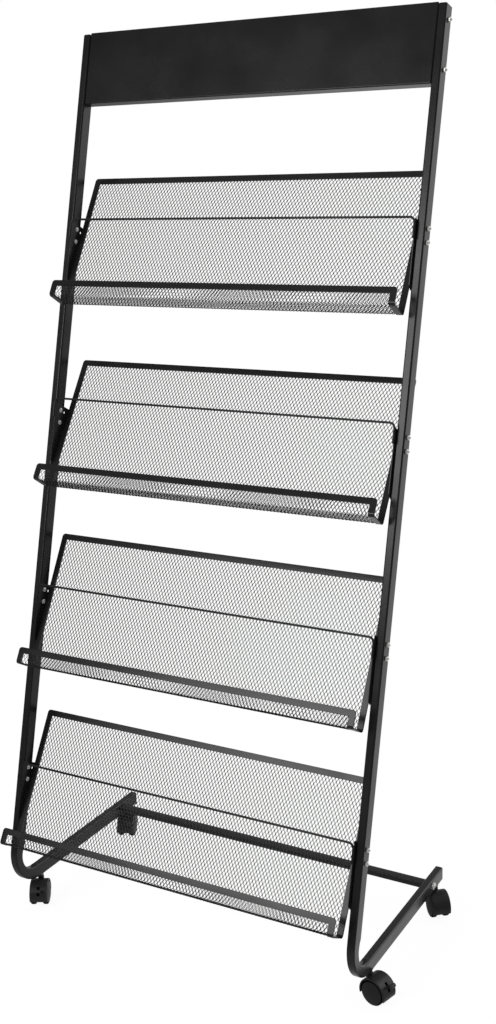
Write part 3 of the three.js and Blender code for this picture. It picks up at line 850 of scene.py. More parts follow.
@dataclass(frozen=True)
class Crossbar:
    """Small rectangular tube between the feet."""

    rack: Rack
    depth: float = 15.0
    height: float = 10.0
    corner: float = 1.3
    corner_steps: int = 3
    inset: float = 48.0  # its middle from the rear ends of the feet
    rise: float = 13.0  # its middle above the undersides of the feet

    @property
    def middle(self) -> Vector:
        """Middle of the bar."""
        return Vector((0, self.rack.foot_rear - self.inset, self.rack.foot_height + self.rise))

    def build(self, bench: Bench) -> None:
        """Makes the bar."""
        reach = Vector((self.rack.inner_face - self.rack.clearance, 0, 0))
        along = Vector((1, 0, 0))
        path = [Station(self.middle - reach, along), Station(self.middle + reach, along)]
        ring = rounded_rectangle(self.height, self.depth, self.corner, self.corner_steps)
        form = Form().skin(swept(ring, path, Vector((0, 0, 1))))
        bench.keep("crossbar_tube", form, POWDER_COAT, ["rear_crossbar"])


class LineTree:
    """A Geometry Nodes tree with named inputs, the first of which is a line of points."""

    def __init__(self, name: str, inputs: dict[str, str]) -> None:
        """Starts the tree and notes the identifiers of its inputs.

        Args:
            name: The tree's name.
            inputs: What kind each input is, by its name.
        """
        self.tree = bpy.data.node_groups.new(name, "GeometryNodeTree")
        self.keys = {}
        sockets = self.tree.interface
        for label, kind in inputs.items():
            socket = sockets.new_socket(label, in_out="INPUT", socket_type=f"NodeSocket{kind}")
            self.keys[label] = socket.identifier
        sockets.new_socket("Result", in_out="OUTPUT", socket_type="NodeSocketGeometry")

    def run(self, points: Ring, settings: dict[str, Any]) -> bpy.types.Mesh:
        """Runs the tree on a line.

        Args:
            points: Corners of the line.
            settings: Values of the other inputs, by name.

        Returns:
            The result as a plain mesh.
        """
        line = bpy.data.meshes.new("line")
        line.from_pydata(points, [(k, k + 1) for k in range(len(points) - 1)], [])
        item = linked("line", line)
        modifier = item.modifiers.new("tree", "NODES")
        modifier.node_group = self.tree
        for name, value in settings.items():
            modifier[self.keys[name]] = value
        mesh = evaluated_mesh(item)
        bpy.data.meshes.remove(line)
        return mesh


class ExpandedMetal(LineTree):
    """Geometry Nodes tree that lays pairs of zigzag strands side by side, so that they meet in bonds."""

    half_cell = 3.0  # points along a strand in half a cell: two on a bond, and one on the way to the next
    triangle_width = math.sqrt(3)  # of a triangle in a circle of radius 1
    triangle_height = 1.5

    def __init__(self) -> None:
        """Builds the tree."""
        inputs = {
            "Profile": "Geometry",
            "Pairs": "Int",
            "Strand Spacing": "Float",
            "Cell Height": "Float",
            "Bond Spacing": "Float",
            "Strand Width": "Float",
            "Strand Thickness": "Float",
            "Strand Waist": "Float",
            "Strand Twist": "Float",
            "Coat": "Material",
        }
        super().__init__("expanded_metal", inputs)
        add = partial(add_node, self.tree)
        given = add("NodeGroupInput").outputs
        line = add("GeometryNodeMeshToCurve", {"Mesh": given["Profile"]})
        step = add("ShaderNodeMath", [given["Cell Height"], 2 * self.half_cell], operation="DIVIDE")
        line = add("GeometryNodeResampleCurve", {"Curve": line, "Length": step}, mode="LENGTH")
        index = add("GeometryNodeSplineParameter").outputs["Index"]
        point = add("ShaderNodeMath", [index, self.half_cell], operation="MODULO")
        bonded = add("ShaderNodeMath", [point, self.half_cell / 2], operation="LESS_THAN")
        width = add("ShaderNodeMath", [bonded, given["Strand Waist"]], operation="MAXIMUM")
        waisted = add("GeometryNodeSetCurveRadius", {"Curve": line, "Radius": width})
        swing = self.swing(index, bonded, given)
        section = self.section(given)
        pair = add("GeometryNodeJoinGeometry")
        for sign, shift in ((1.0, 0.0), (-1.0, given["Strand Spacing"])):
            across = add("ShaderNodeMath", [swing, sign, shift], operation="MULTIPLY_ADD")
            move = add("ShaderNodeCombineXYZ", {"X": across})
            bent = add("GeometryNodeSetPosition", {"Geometry": waisted, "Offset": move})
            facing = {"Curve": bent, "Normal": (1.0, 0.0, 0.0)}
            faced = add("GeometryNodeSetCurveNormal", facing, mode="FREE")
            twisted = add("GeometryNodeSetCurveTilt", {"Curve": faced, "Tilt": given["Strand Twist"]})
            swept_over = {"Curve": twisted, "Profile Curve": section, "Fill Caps": True}
            strand = add("GeometryNodeCurveToMesh", swept_over)
            self.tree.links.new(strand.outputs["Mesh"], pair.inputs["Geometry"])
        twice = add("ShaderNodeMath", [given["Strand Spacing"], 2.0], operation="MULTIPLY")
        stride = add("ShaderNodeCombineXYZ", {"X": twice})
        places = add("GeometryNodeMeshLine", {"Count": given["Pairs"], "Offset": stride})
        laid = add("GeometryNodeInstanceOnPoints", {"Points": places, "Instance": pair})
        whole = add("GeometryNodeRealizeInstances", {"Geometry": laid})
        coated = add("GeometryNodeSetMaterial", {"Geometry": whole, "Material": given["Coat"]})
        add("NodeGroupOutput", {"Result": coated})

    def swing(self, index: bpy.types.NodeSocket, bonded: bpy.types.Node, given: Any) -> bpy.types.Node:
        """How far a strand's points stand to the side: at the bonds only, left and right in turn.

        Args:
            index: Number of the point along the strand.
            bonded: 1 on a bond, and 0 between bonds.
            given: The tree's inputs.

        Returns:
            The sideways step.
        """
        add = partial(add_node, self.tree)
        halves = add("ShaderNodeMath", [index, self.half_cell], operation="DIVIDE")
        bond = add("ShaderNodeMath", [halves], operation="FLOOR")
        turn = add("ShaderNodeMath", [bond, 2.0], operation="MODULO")
        side = add("ShaderNodeMath", [turn, 0.5], operation="SUBTRACT")
        room = [given["Strand Spacing"], given["Bond Spacing"]]
        reach = add("ShaderNodeMath", room, operation="SUBTRACT")
        step = add("ShaderNodeMath", [side, reach], operation="MULTIPLY")
        return add("ShaderNodeMath", [step, bonded], operation="MULTIPLY")

    def section(self, given: Any) -> bpy.types.Node:
        """A strand's section: a flat triangle, with few faces for so many strands.

        Args:
            given: The tree's inputs.

        Returns:
            Its outline.
        """
        add = partial(add_node, self.tree)
        widths = [given["Strand Width"], self.triangle_width]
        wide = add("ShaderNodeMath", widths, operation="DIVIDE")
        heights = [given["Strand Thickness"], self.triangle_height]
        thick = add("ShaderNodeMath", heights, operation="DIVIDE")
        size = add("ShaderNodeCombineXYZ", {"X": wide, "Y": thick, "Z": 1.0})
        triangle = add("GeometryNodeCurvePrimitiveCircle", {"Resolution": 3, "Radius": 1.0})
        return add("GeometryNodeTransform", {"Geometry": triangle, "Scale": size})


@dataclass(frozen=True)
class Tray:
    """One tilted tray: expanded metal, its rim, side brackets and retaining wire."""

    rack: Rack
    name: str
    along: float  # lower back corner, up the post from the floor line
    tilt: float  # back from upright
    wire_rise: float  # up the post from the tray's corner
    back: float = 229.0
    floor: float = 38.0
    lip: float = 26.0
    bend: float = 4.0
    bend_steps: int = 8
    forward: float = 12.0  # lower back corner in front of the posts' front faces
    rim_width: float = 10.0
    rim_thickness: float = 2.6
    rim_corner: float = 5.0
    rim_corner_steps: int = 5
    rim_edge: float = 0.6
    strand_spacing: float = 2.935
    cell_height: float = 10.0
    bond_spacing: float = 0.65  # between the middles of two strands that are joined
    strand_width: float = 1.45  # at the bonds
    strand_thickness: float = 0.5
    strand_waist: float = 0.3  # share of the width that is left halfway between bonds
    strand_twist: float = math.radians(75)
    tuck: float = 2.0  # strands inside the rim
    bracket_thickness: float = 1.4
    bracket_reach: float = 5.0  # in front of the posts' front faces
    bracket_foot: float = 40.0  # lower end of its rear edge, up the tray's back
    bracket_top: float = 138.0  # and the upper end
    bracket_front_foot: float = 44.0  # lower end of its front edge, up the post from the tray's corner
    bracket_front_top: float = 140.0  # and the upper end
    bracket_overlap: float = 4.0  # past the tray's back
    bracket_edge: float = 0.25
    bolt_rise: float = 127.0  # upper bolt, up the post from the tray's corner
    bolt_spacing: float = 20.0
    bolt_depth: float = 10.0  # behind the posts' front faces
    jig_hole: float = 2.0  # radius
    jig_hole_sides: int = 16
    jig_hole_depth: float = 21.0
    jig_hole_rise: float = 124.0
    wire_radius: float = 1.75
    wire_bend: float = 8.0
    wire_bend_steps: int = 8
    wire_leg: float = 30.0
    wire_sides: int = 14
    wire_edge: float = 0.4  # rounding of its cut ends

    @property
    def half_width(self) -> float:
        """Outer edge of the rim, from the middle of the rack."""
        return self.rack.inner_face - self.bracket_thickness - 2 * self.rack.clearance

    @property
    def place(self) -> Matrix:
        """The tray's own frame: z up its back, y towards the posts."""
        corner = self.rack.on_post(0, -self.forward, self.along)
        return Matrix.Translation(corner) @ Matrix.Rotation(-self.tilt, 4, "X")

    def profile(self, trim: float) -> Ring:
        """Side line of the sheet, from the lip over the floor and up the back.

        Args:
            trim: Length left off at both ends.

        Returns:
            Its points, in the tray's frame.
        """
        corners = [
            Vector((0, -self.floor, self.lip - trim)),
            Vector((0, -self.floor, 0)),
            Vector((0, 0, 0)),
            Vector((0, 0, self.back - trim)),
        ]
        return [station.point for station in rounded_path(corners, self.bend, self.bend_steps)]

    def rim(self) -> Form:
        """The channel folded over the edges of the sheet, with rounded corners."""
        outer = self.half_width
        inner = outer - self.rim_width
        line = self.profile(self.rim_width)
        line = [self.profile(0)[0], *line, self.profile(0)[-1]]
        form = Form()
        grid = [[form.bm.verts.new((x, p.y, p.z)) for x in (-outer, -inner, inner, outer)] for p in line]
        middle = 1  # column between the two sides, filled at both ends only
        last = len(grid) - 2
        for row, (low, high) in enumerate(zip(grid, grid[1:])):
            for column in range(3):
                if column != middle or row in (0, last):
                    form.bm.faces.new((low[column], low[column + 1], high[column + 1], high[column]))
        corners = [row[k] for row in (grid[0], grid[-1]) for k in (0, 3)]
        rounding = {"offset": self.rim_corner, "segments": self.rim_corner_steps, "profile": ROUND}
        bmesh.ops.bevel(form.bm, geom=corners, affect="VERTICES", **rounding)
        form.modified("SOLIDIFY", thickness=self.rim_thickness, offset=0.0, use_even_offset=True)
        return form.softened(self.rim_edge).moved(self.place)

    def net(self, metal: ExpandedMetal) -> bpy.types.Mesh:
        """The expanded sheet, tucked into the rim.

        Args:
            metal: Tree that lays the strands.

        Returns:
            Its mesh.
        """
        reach = self.half_width - self.rim_width + self.tuck
        pairs = int(reach // self.strand_spacing)
        first = -(pairs - 0.5) * self.strand_spacing  # so that all the strands lie about the middle
        line = [point + Vector((first, 0, 0)) for point in self.profile(self.rim_width - self.tuck)]
        settings = {
            "Pairs": pairs,
            "Strand Spacing": self.strand_spacing,
            "Cell Height": self.cell_height,
            "Bond Spacing": self.bond_spacing,
            "Strand Width": self.strand_width,
            "Strand Thickness": self.strand_thickness,
            "Strand Waist": self.strand_waist,
            "Strand Twist": self.strand_twist,
            "Coat": STRAND_COAT.material(),
        }
        mesh = metal.run(line, settings)
        mesh.transform(self.place)
        return mesh

    def bracket(self, side: Side) -> Form:
        """A flat plate between the tray's back and the post, with its jig hole.

        Args:
            side: Which end of the tray.

        Returns:
            The plate.
        """
        rack = self.rack
        x = side.value * (self.half_width + rack.clearance)
        reach = -self.bracket_reach
        outline = [
            self.place @ Vector((x, self.bracket_overlap, self.bracket_foot)),
            self.place @ Vector((x, self.bracket_overlap, self.bracket_top)),
            rack.on_post(x, reach, self.along + self.bracket_front_top),
            rack.on_post(x, reach, self.along + self.bracket_front_foot),
        ]
        seat = rack.post_frame(self.along + self.jig_hole_rise)
        ring = circle(self.jig_hole, self.jig_hole_sides)
        hole = [seat @ Vector((x, self.jig_hole_depth + u, v)) for u, v in ring]
        form = Form().plate(outline, [hole], Vector((side.value * self.bracket_thickness, 0, 0)))
        return form.softened(self.bracket_edge)

    def wire(self) -> Form:
        """The retaining wire, with its ends turned down onto the brackets."""
        depth = -self.bracket_reach - self.rack.clearance - self.wire_radius
        x = self.half_width + self.rack.clearance + self.bracket_thickness / 2
        top = self.along + self.wire_rise
        places = [(-x, top - self.wire_leg), (-x, top), (x, top), (x, top - self.wire_leg)]
        corners = [self.rack.on_post(across, depth, up) for across, up in places]
        path = rounded_path(corners, self.wire_bend, self.wire_bend_steps)
        across = self.rack.on_post(0, 1, 0)
        rows = swept(circle(self.wire_radius, self.wire_sides), path, across)
        return Form().skin(rows).softened(self.wire_edge)

    def bolt_points(self, x: float) -> list[Vector]:
        """Middles of the bolts through a post."""
        rises = [self.along + self.bolt_rise - k * self.bolt_spacing for k in range(2)]
        return [self.rack.on_post(x, self.bolt_depth, rise) for rise in rises]

    def build(self, bench: Bench, metal: ExpandedMetal) -> None:
        """Makes the tray's pieces.

        Args:
            bench: Where they are finished.
            metal: Tree that lays the strands.
        """
        bench.keep(f"{self.name}_expanded_metal", self.net(metal), STRAND_COAT, [f"{self.name}_mesh"])
        bench.keep(f"{self.name}_rim_channel", self.rim(), POWDER_COAT, [f"{self.name}_rim"])
        bench.keep(f"{self.name}_front_wire", self.wire(), POWDER_COAT, [f"{self.name}_wire"])
        for side in Side:
            node = f"{self.name}_{side.word}_bracket"
            bench.keep(f"{node}_plate", self.bracket(side), POWDER_COAT, [node])


class BoltRow(LineTree):
    """Geometry Nodes tree that sets a bolt on each point, turned outwards."""

    def __init__(self) -> None:
        """Builds the tree."""
        inputs = {"Points": "Geometry", "Bolt": "Object", "Turn": "Vector", "Plate": "Material"}
        super().__init__("bolt_row", inputs)
        add = partial(add_node, self.tree)
        given = add("NodeGroupInput").outputs
        bolt = add("GeometryNodeObjectInfo", {"Object": given["Bolt"]}).outputs["Geometry"]
        turn = add("FunctionNodeEulerToRotation", {"Euler": given["Turn"]})
        copies = {"Points": given["Points"], "Instance": bolt, "Rotation": turn}
        laid = add("GeometryNodeInstanceOnPoints", copies)
        whole = add("GeometryNodeRealizeInstances", {"Geometry": laid})
        plated = add("GeometryNodeSetMaterial", {"Geometry": whole, "Material": given["Plate"]})
        add("NodeGroupOutput", {"Result": plated})

    def bolts(self, bolt: Form, points: Ring, side: Side, finish: Finish) -> bpy.types.Mesh:
        """Sets a bolt on each point.

        Args:
            bolt: The bolt, along z.
            points: Where they sit.
            side: Where they point.
            finish: What covers them.

        Returns:
            Their mesh.
        """
        item = bolt.scratch()
        turn = (0.0, side.value * math.pi / 2, 0.0)
        mesh = self.run(points, {"Bolt": item, "Turn": turn, "Plate": finish.material()})
        bpy.data.meshes.remove(item.data)
        return mesh


@dataclass(frozen=True)
class Fastener:
    """A pan head bolt along z, with a cross recess, and a hexagon nut on its thread."""

    length: float
    grip: float | None = None  # under the head to the nut, if it has one
    radius: float = 2.0
    head_radius: float = 4.0
    head_height: float = 2.6
    head_side: float = 0.1  # straight share of the head's height
    head_edge: float = 0.1  # chamfer under the head
    dome_steps: int = 6
    recess_reach: float = 2.2
    recess_width: float = 0.9
    recess_depth: float = 1.4
    recess_corner: float = 0.1
    recess_taper: float = 0.55  # share of the recess's size that is left at its bottom
    recess_over: float = 0.5  # how far the cutter stands out of the head
    nut_radius: float = 4.0
    nut_height: float = 3.2
    nut_chamfer: float = 0.5
    thread_pitch: float = 0.8
    thread_depth: float = 0.3
    thread_turns: int = 4  # drawn at the end
    thread_chamfer: float = 0.6
    sides: int = 24

    def form(self) -> Form:
        """The bolt, head below the origin."""
        edge = self.head_radius - self.head_edge
        tip = self.radius - self.thread_chamfer
        rows = [*self.dome(), (self.head_radius, -self.head_edge), (edge, 0.0), (self.radius, 0.0)]
        rows += [*self.thread(), (tip, self.length), (0.0, self.length)]
        made = Form().turn(rows, self.sides, Matrix.Identity(4))
        for quarter in range(2):
            made.without(self.recess(quarter * math.pi / 2))
        if self.grip is not None:
            made.joined(self.nut())
        return made

    def dome(self) -> list[tuple[float, float]]:
        """Points down the curved top of the head."""
        rows = [(0.0, -self.head_height)]
        for k in range(1, self.dome_steps + 1):
            angle = math.pi / 2 * k / self.dome_steps
            share = self.head_side + (1 - self.head_side) * math.cos(angle)
            rows.append((self.head_radius * math.sin(angle), -self.head_height * share))
        return rows

    def thread(self) -> list[tuple[float, float]]:
        """Ridges of the last few turns of the thread."""
        start = self.length - self.thread_turns * self.thread_pitch
        turns = []
        for k in range(self.thread_turns):
            low = start + k * self.thread_pitch
            turns.append((self.radius, low))
            turns.append((self.radius - self.thread_depth, low + self.thread_pitch / 2))
        return turns

    def recess(self, turn: float) -> Form:
        """One slot of the cross recess, narrower at its bottom."""
        rows = []
        over = -self.head_height - self.recess_over
        bottom = self.recess_depth - self.head_height
        for share, depth in ((1.0, over), (self.recess_taper, bottom)):
            size = (2 * self.recess_reach * share, self.recess_width * share)
            ring = rounded_rectangle(*size, self.recess_corner, 1)
            rows.append([Vector((u, v, depth)) for u, v in ring])
        return Form().skin(rows).moved(Matrix.Rotation(turn, 4, "Z"))

    def nut(self) -> Form:
        """Hexagon nut with chamfered corners."""
        low = self.grip
        high = low + self.nut_height
        cut = self.nut_radius - self.nut_chamfer
        rows = [(cut, low), (self.nut_radius, low + self.nut_chamfer)]
        rows += [(self.nut_radius, high - self.nut_chamfer), (cut, high)]
        return Form().turn(rows, HEXAGON, Matrix.Identity(4))


@dataclass(frozen=True)
class Caster:
    """Twin-wheel caster: stem, hood, two wheels, and on the front ones a brake lever.

    Heights are above the floor, and the lever's lengths are from the axle.
    """

    rack: Rack
    name: str
    side: Side
    front: bool
    heading: float  # from +x to the side that trails
    front_setback: float = 69.0  # stem behind the front of the bends
    rear_inset: float = 20.0  # stem before the rear ends of the feet
    trail: float = 15.0  # stem to axle
    wheel_radius: float = 20.0
    wheel_width: float = 9.1
    wheel_crown: float = 2.5  # height of the domed face
    wheel_round: float = 2.7  # radius of the tread's edges
    wheel_round_steps: int = 4
    wheel_crown_steps: int = 10
    wheel_sides: int = 64
    # the tread's painted shade fades in over tread_blend
    tread_blend: float = 1.0  # width over which the face turns into the tread
    axle_bore: float = 2.8  # radius
    axle_reach: float = 14.4  # depth of the bore, from the middle of the caster
    hood_gap: float = 1.0  # over the wheels
    hood_wall: float = 2.3
    hood_round: float = 1.1  # radius of the band's outer edges
    hood_round_steps: int = 5
    hood_steps: int = 40
    hood_skirt: float = 13.6  # lower edges of the band
    web: float = 11.4  # thickness of the middle wall
    web_bottom: float = 14.5  # its lower edge
    boss_radius: float = 5.2
    boss_low: float = 30.0
    boss_top: float = 44.0
    boss_edge: float = 0.8
    boss_sides: int = 40
    collar_radius: float = 4.6
    collar_height: float = 1.5
    collar_edge: float = 0.3
    collar_sides: int = 32
    nut_radius: float = 5.8
    nut_chamfer: float = 0.4
    nut_foot_chamfer: float = 0.6  # deeper on the side of the collar
    nut_gap: float = 0.1
    lever_angle: float = math.radians(32)
    lever_width: float = 4.5
    lever_thickness: float = 4.5
    lever_start: float = 10.0
    lever_end: float = 35.5
    lever_corner: float = 1.2
    lever_corner_steps: int = 3
    pad_width: float = 12.0
    pad_length: float = 5.0
    pad_thickness: float = 5.5
    slot_below: float = 7.5  # room for the lever's swing, from its middle
    slot_above: float = 7.5

    @property
    def place(self) -> Matrix:
        """The caster's frame: stem on z, wheels trailing along x, axle along y."""
        rack = self.rack
        y = rack.foot_front + self.front_setback if self.front else rack.foot_rear - self.rear_inset
        stem = Matrix.Translation((self.side.value * rack.tube_centre, y, 0))
        return stem @ Matrix.Rotation(self.heading, 4, "Z")

    @property
    def axle(self) -> Matrix:
        """A frame whose z is the axle."""
        middle = Matrix.Translation((self.trail, 0, self.wheel_radius))
        return self.place @ middle @ Matrix.Rotation(-math.pi / 2, 4, "X")

    @property
    def lever_frame(self) -> Matrix:
        """A frame on the axle whose x runs out along the brake lever."""
        middle = Matrix.Translation((self.trail, 0, self.wheel_radius))
        return self.place @ middle @ Matrix.Rotation(-self.lever_angle, 4, "Y")

    @property
    def inner_face(self) -> float:
        """Inner face of a wheel, from the middle of the caster."""
        return self.web / 2 + self.rack.clearance

    def wheel(self, side: Side) -> Form:
        """A wheel with a plain domed face and a rounded tread.

        Args:
            side: Left is on the caster's +y side.

        Returns:
            The wheel.
        """
        face = self.inner_face
        tread = face + self.wheel_width
        rows = [(0.0, self.axle_reach), (self.axle_bore, self.axle_reach), (self.axle_bore, face)]
        curve = self.wheel_round
        edge = self.wheel_radius - curve
        arc = [math.pi / 2 * k / self.wheel_round_steps for k in range(self.wheel_round_steps + 1)]
        rows += [(edge + curve * math.sin(a), face + curve * (1 - math.cos(a))) for a in arc]
        rows += [(edge + curve * math.cos(a), tread - curve + curve * math.sin(a)) for a in arc]
        for k in range(1, self.wheel_crown_steps + 1):
            share = 1 - k / self.wheel_crown_steps
            rows.append((edge * share, tread + self.wheel_crown * (1 - share * share)))
        mirror = 1 if side is Side.LEFT else -1
        return Form().turn([(r, mirror * along) for r, along in rows], self.wheel_sides, self.axle)

    def mark_tread(self, piece: bpy.types.Object, bench: Bench) -> None:
        """Writes which points of a wheel are on its tread, beyond the edge of its domed face: the mask of
        the tread's painted shade.

        Args:
            piece: The wheel.
            bench: Where it was finished.
        """
        to_axle = (bench.place @ self.axle).inverted()
        edge = self.wheel_radius - self.wheel_round
        # mask of the painted shade on the tread
        tread = piece.data.attributes.new(WHEEL_PLASTIC.tread, "FLOAT", "POINT")
        for vert, value in zip(piece.data.vertices, tread.data):
            radius = (to_axle @ vert.co).to_2d().length
            value.value = max(0.0, min(1.0, (radius - edge) / self.tread_blend))

    def hood(self) -> Form:
        """The hood: a band over both wheels, the middle wall that holds the axle, and the stem's boss."""
        inside = self.wheel_radius + self.hood_gap
        edge = self.inner_face + self.wheel_width
        low = math.asin((self.hood_skirt - self.wheel_radius) / (inside + self.hood_wall))
        band = self.band(inside, edge)
        rows = []
        for k in range(self.hood_steps + 1):
            angle = low + (math.pi - 2 * low) * k / self.hood_steps
            spoke = Vector((math.cos(angle), -math.sin(angle), 0))
            rows.append([self.axle @ (spoke * r + Vector((0, 0, along))) for r, along in band])
        form = Form().skin(rows)
        form.with_form(self.middle_wall(inside))
        form.with_form(self.boss())
        return form.without(self.lever_slot()) if self.front else form

    def middle_wall(self, inside: float) -> Form:
        """The wall between the wheels, cut off level below.

        Args:
            inside: Inner radius of the hood's band.

        Returns:
            The wall.
        """
        radius = inside + self.hood_wall / 2
        half = self.web / 2
        rows = [(0, -half), (radius, -half), (radius, half), (0, half)]
        cutter = Form()
        reach = 4 * inside  # well past the wall on all sides
        below = Matrix.Translation((self.trail, 0, self.web_bottom - reach / 2))
        bmesh.ops.create_cube(cutter.bm, size=reach, matrix=self.place @ below)
        return Form().turn(rows, self.wheel_sides, self.axle).without(cutter)

    def boss(self) -> Form:
        """The upright boss that the stem turns in."""
        r, edge = self.boss_radius, self.boss_edge
        low, top = self.boss_low, self.boss_top
        rows = [(0, low), (r, low), (r, top - edge), (r - edge, top), (0, top)]
        return Form().turn(rows, self.boss_sides, self.place)

    def band(self, inside: float, edge: float) -> list[tuple[float, float]]:
        """Section of the hood's band, rounded at its edges.

        Args:
            inside: Inner radius.
            edge: Half its width.

        Returns:
            Points as (radius, along the axle).
        """
        outer = []
        middle = inside + self.hood_wall - self.hood_round
        for k in range(self.hood_round_steps + 1):
            angle = math.pi / 2 * k / self.hood_round_steps
            along = edge - self.hood_round * (1 - math.cos(angle))
            outer.append((middle + self.hood_round * math.sin(angle), along))
        return [(inside, -edge), *[(r, -along) for r, along in outer], *reversed(outer), (inside, edge)]

    def lever_slot(self) -> Form:
        """Room for the lever's swing in the hood and its wall."""
        start = self.lever_start - 2 * self.rack.clearance
        end = self.lever_end + self.pad_length
        width = self.lever_width + 2 * self.rack.clearance
        height = self.slot_above + self.slot_below
        size = Matrix.Diagonal((end - start, width, height, 1))
        middle = Matrix.Translation(((start + end) / 2, 0, (self.slot_above - self.slot_below) / 2))
        form = Form()
        bmesh.ops.create_cube(form.bm, size=1, matrix=self.lever_frame @ middle @ size)
        return form

    def lever(self) -> Form:
        """The brake lever: a rounded bar that flares into a foot pad."""
        bar, thick = self.lever_width, self.lever_thickness
        pad, deep = self.pad_width, self.pad_thickness
        start, end = self.lever_start, self.lever_end
        flare = end - self.pad_length
        rows = []
        for along, width, height in (
            (start, bar - 1.0, thick - 1.0),  # rounded inner end
            (start + 0.7, bar, thick),
            (flare - 3.0, bar, thick),  # end of the straight bar
            (flare - 1.2, bar + 1.5, thick + 0.4),
            (flare, pad - 1.5, deep),
            (flare + 1.0, pad, deep),  # full width of the pad
            (end - 1.2, pad, deep),
            (end - 0.3, pad - 1.0, deep - 1.0),  # rounded outer end
            (end, pad - 2.4, deep - 2.4),
        ):
            ring = rounded_rectangle(width, height, self.lever_corner, self.lever_corner_steps)
            rows.append([self.lever_frame @ Vector((along, u, v)) for u, v in ring])
        return Form().skin(rows)

    def neck(self) -> Form:
        """Plastic collar around the stem."""
        low = self.boss_top + self.rack.clearance
        high = low + self.collar_height
        r, edge = self.collar_radius, self.collar_edge
        rows = [(0, low), (r - edge, low), (r, low + edge), (r, high - edge), (r - edge, high), (0, high)]
        return Form().turn(rows, self.collar_sides, self.place)

    def stem_nut(self) -> Form:
        """Hexagon nut that locks the stem under the foot."""
        low = self.boss_top + self.rack.clearance + self.collar_height + self.nut_gap
        high = self.rack.foot_height - self.rack.clearance
        r, edge = self.nut_radius, self.nut_chamfer
        rows = [(r - self.nut_foot_chamfer, low), (r, low + edge), (r, high - edge), (r - edge, high)]
        return Form().turn(rows, HEXAGON, self.place)

    def build(self, bench: Bench) -> None:
        """Makes the caster's pieces."""
        node = f"{self.name}_caster"
        bench.keep(f"{node}_neck", self.neck(), MOULDED_PLASTIC, [f"{node}_stem"])
        bench.keep(f"{node}_lock_nut", self.stem_nut(), ZINC_PLATE)
        swivel = f"{self.name}_swivel"
        bench.keep(f"{node}_hood_moulding", self.hood(), MOULDED_PLASTIC, [f"{node}_hood"], swivel)
        for side in Side:
            word = f"{side.word}_wheel"
            wheel = f"{node}_{word}"
            body = f"{self.name}_{word}"
            piece = bench.keep(f"{wheel}_moulding", self.wheel(side), WHEEL_PLASTIC, [wheel], body)
            self.mark_tread(piece, bench)
        if self.front:
            lever = f"{node}_brake_lever"
            bench.keep(f"{lever}_moulding", self.lever(), MOULDED_PLASTIC, [lever], f"{self.name}_brake")
        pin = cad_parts[f"{node}_axle"]
        pin.data.materials.clear()
        pin.data.materials.append(ZINC_PLATE.material())


@dataclass(frozen=True)
class Camera:
    """The photograph's viewpoint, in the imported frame, and the size of its image."""

    position: tuple[float, float, float] = (1.0006, -1.6973, 1.2086)  # metres
    pan: float = math.radians(-29.73)  # from +y, to the right
    tilt: float = math.radians(-13.81)  # up
    roll: float = math.radians(-1.46)
    focal: float = 1313.1  # pixels
    centre: tuple[float, float] = (236.0, 498.8)  # pixel that the lens points at
    image: tuple[int, int] = (496, 1024)
    sensor: float = 36.0  # millimetres along the image's longer side

    def build(self) -> None:
        """Sets up the camera."""
        flat = Vector((math.sin(self.pan), math.cos(self.pan), 0))
        forward = flat * math.cos(self.tilt) + Vector((0, 0, math.sin(self.tilt)))
        level = Vector((math.cos(self.pan), -math.sin(self.pan), 0))
        above = level.cross(forward)
        right = level * math.cos(self.roll) + above * math.sin(self.roll)
        up = above * math.cos(self.roll) - level * math.sin(self.roll)
        width, height = self.image
        data = bpy.data.cameras.new("photo_camera")
        data.sensor_width = self.sensor
        data.lens = self.focal * self.sensor / height
        data.shift_x = (width / 2 - self.centre[0]) / height
        data.shift_y = (self.centre[1] - height / 2) / height
        camera = linked("photo_camera", data)
        turn = Matrix((right, up, -forward)).transposed().to_4x4()
        camera.matrix_world = Matrix.Translation(self.position) @ turn
        bpy.context.scene.camera = camera


@dataclass(frozen=True)
class Panel:
    """A soft light panel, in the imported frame."""

    name: str
    position: tuple[float, float, float]
    aim: tuple[float, float, float]
    size: tuple[float, float]
    watts: float

    def build(self) -> None:
        """Hangs the panel."""
        data = bpy.data.lights.new(self.name, "AREA")
        data.shape = "RECTANGLE"
        data.size, data.size_y = self.size
        data.energy = self.watts
        item = linked(self.name, data)
        item.location = self.position
        way = Vector(self.aim) - Vector(self.position)
        item.rotation_euler = way.to_track_quat("-Z", "Y").to_euler()
        item.visible_camera = False


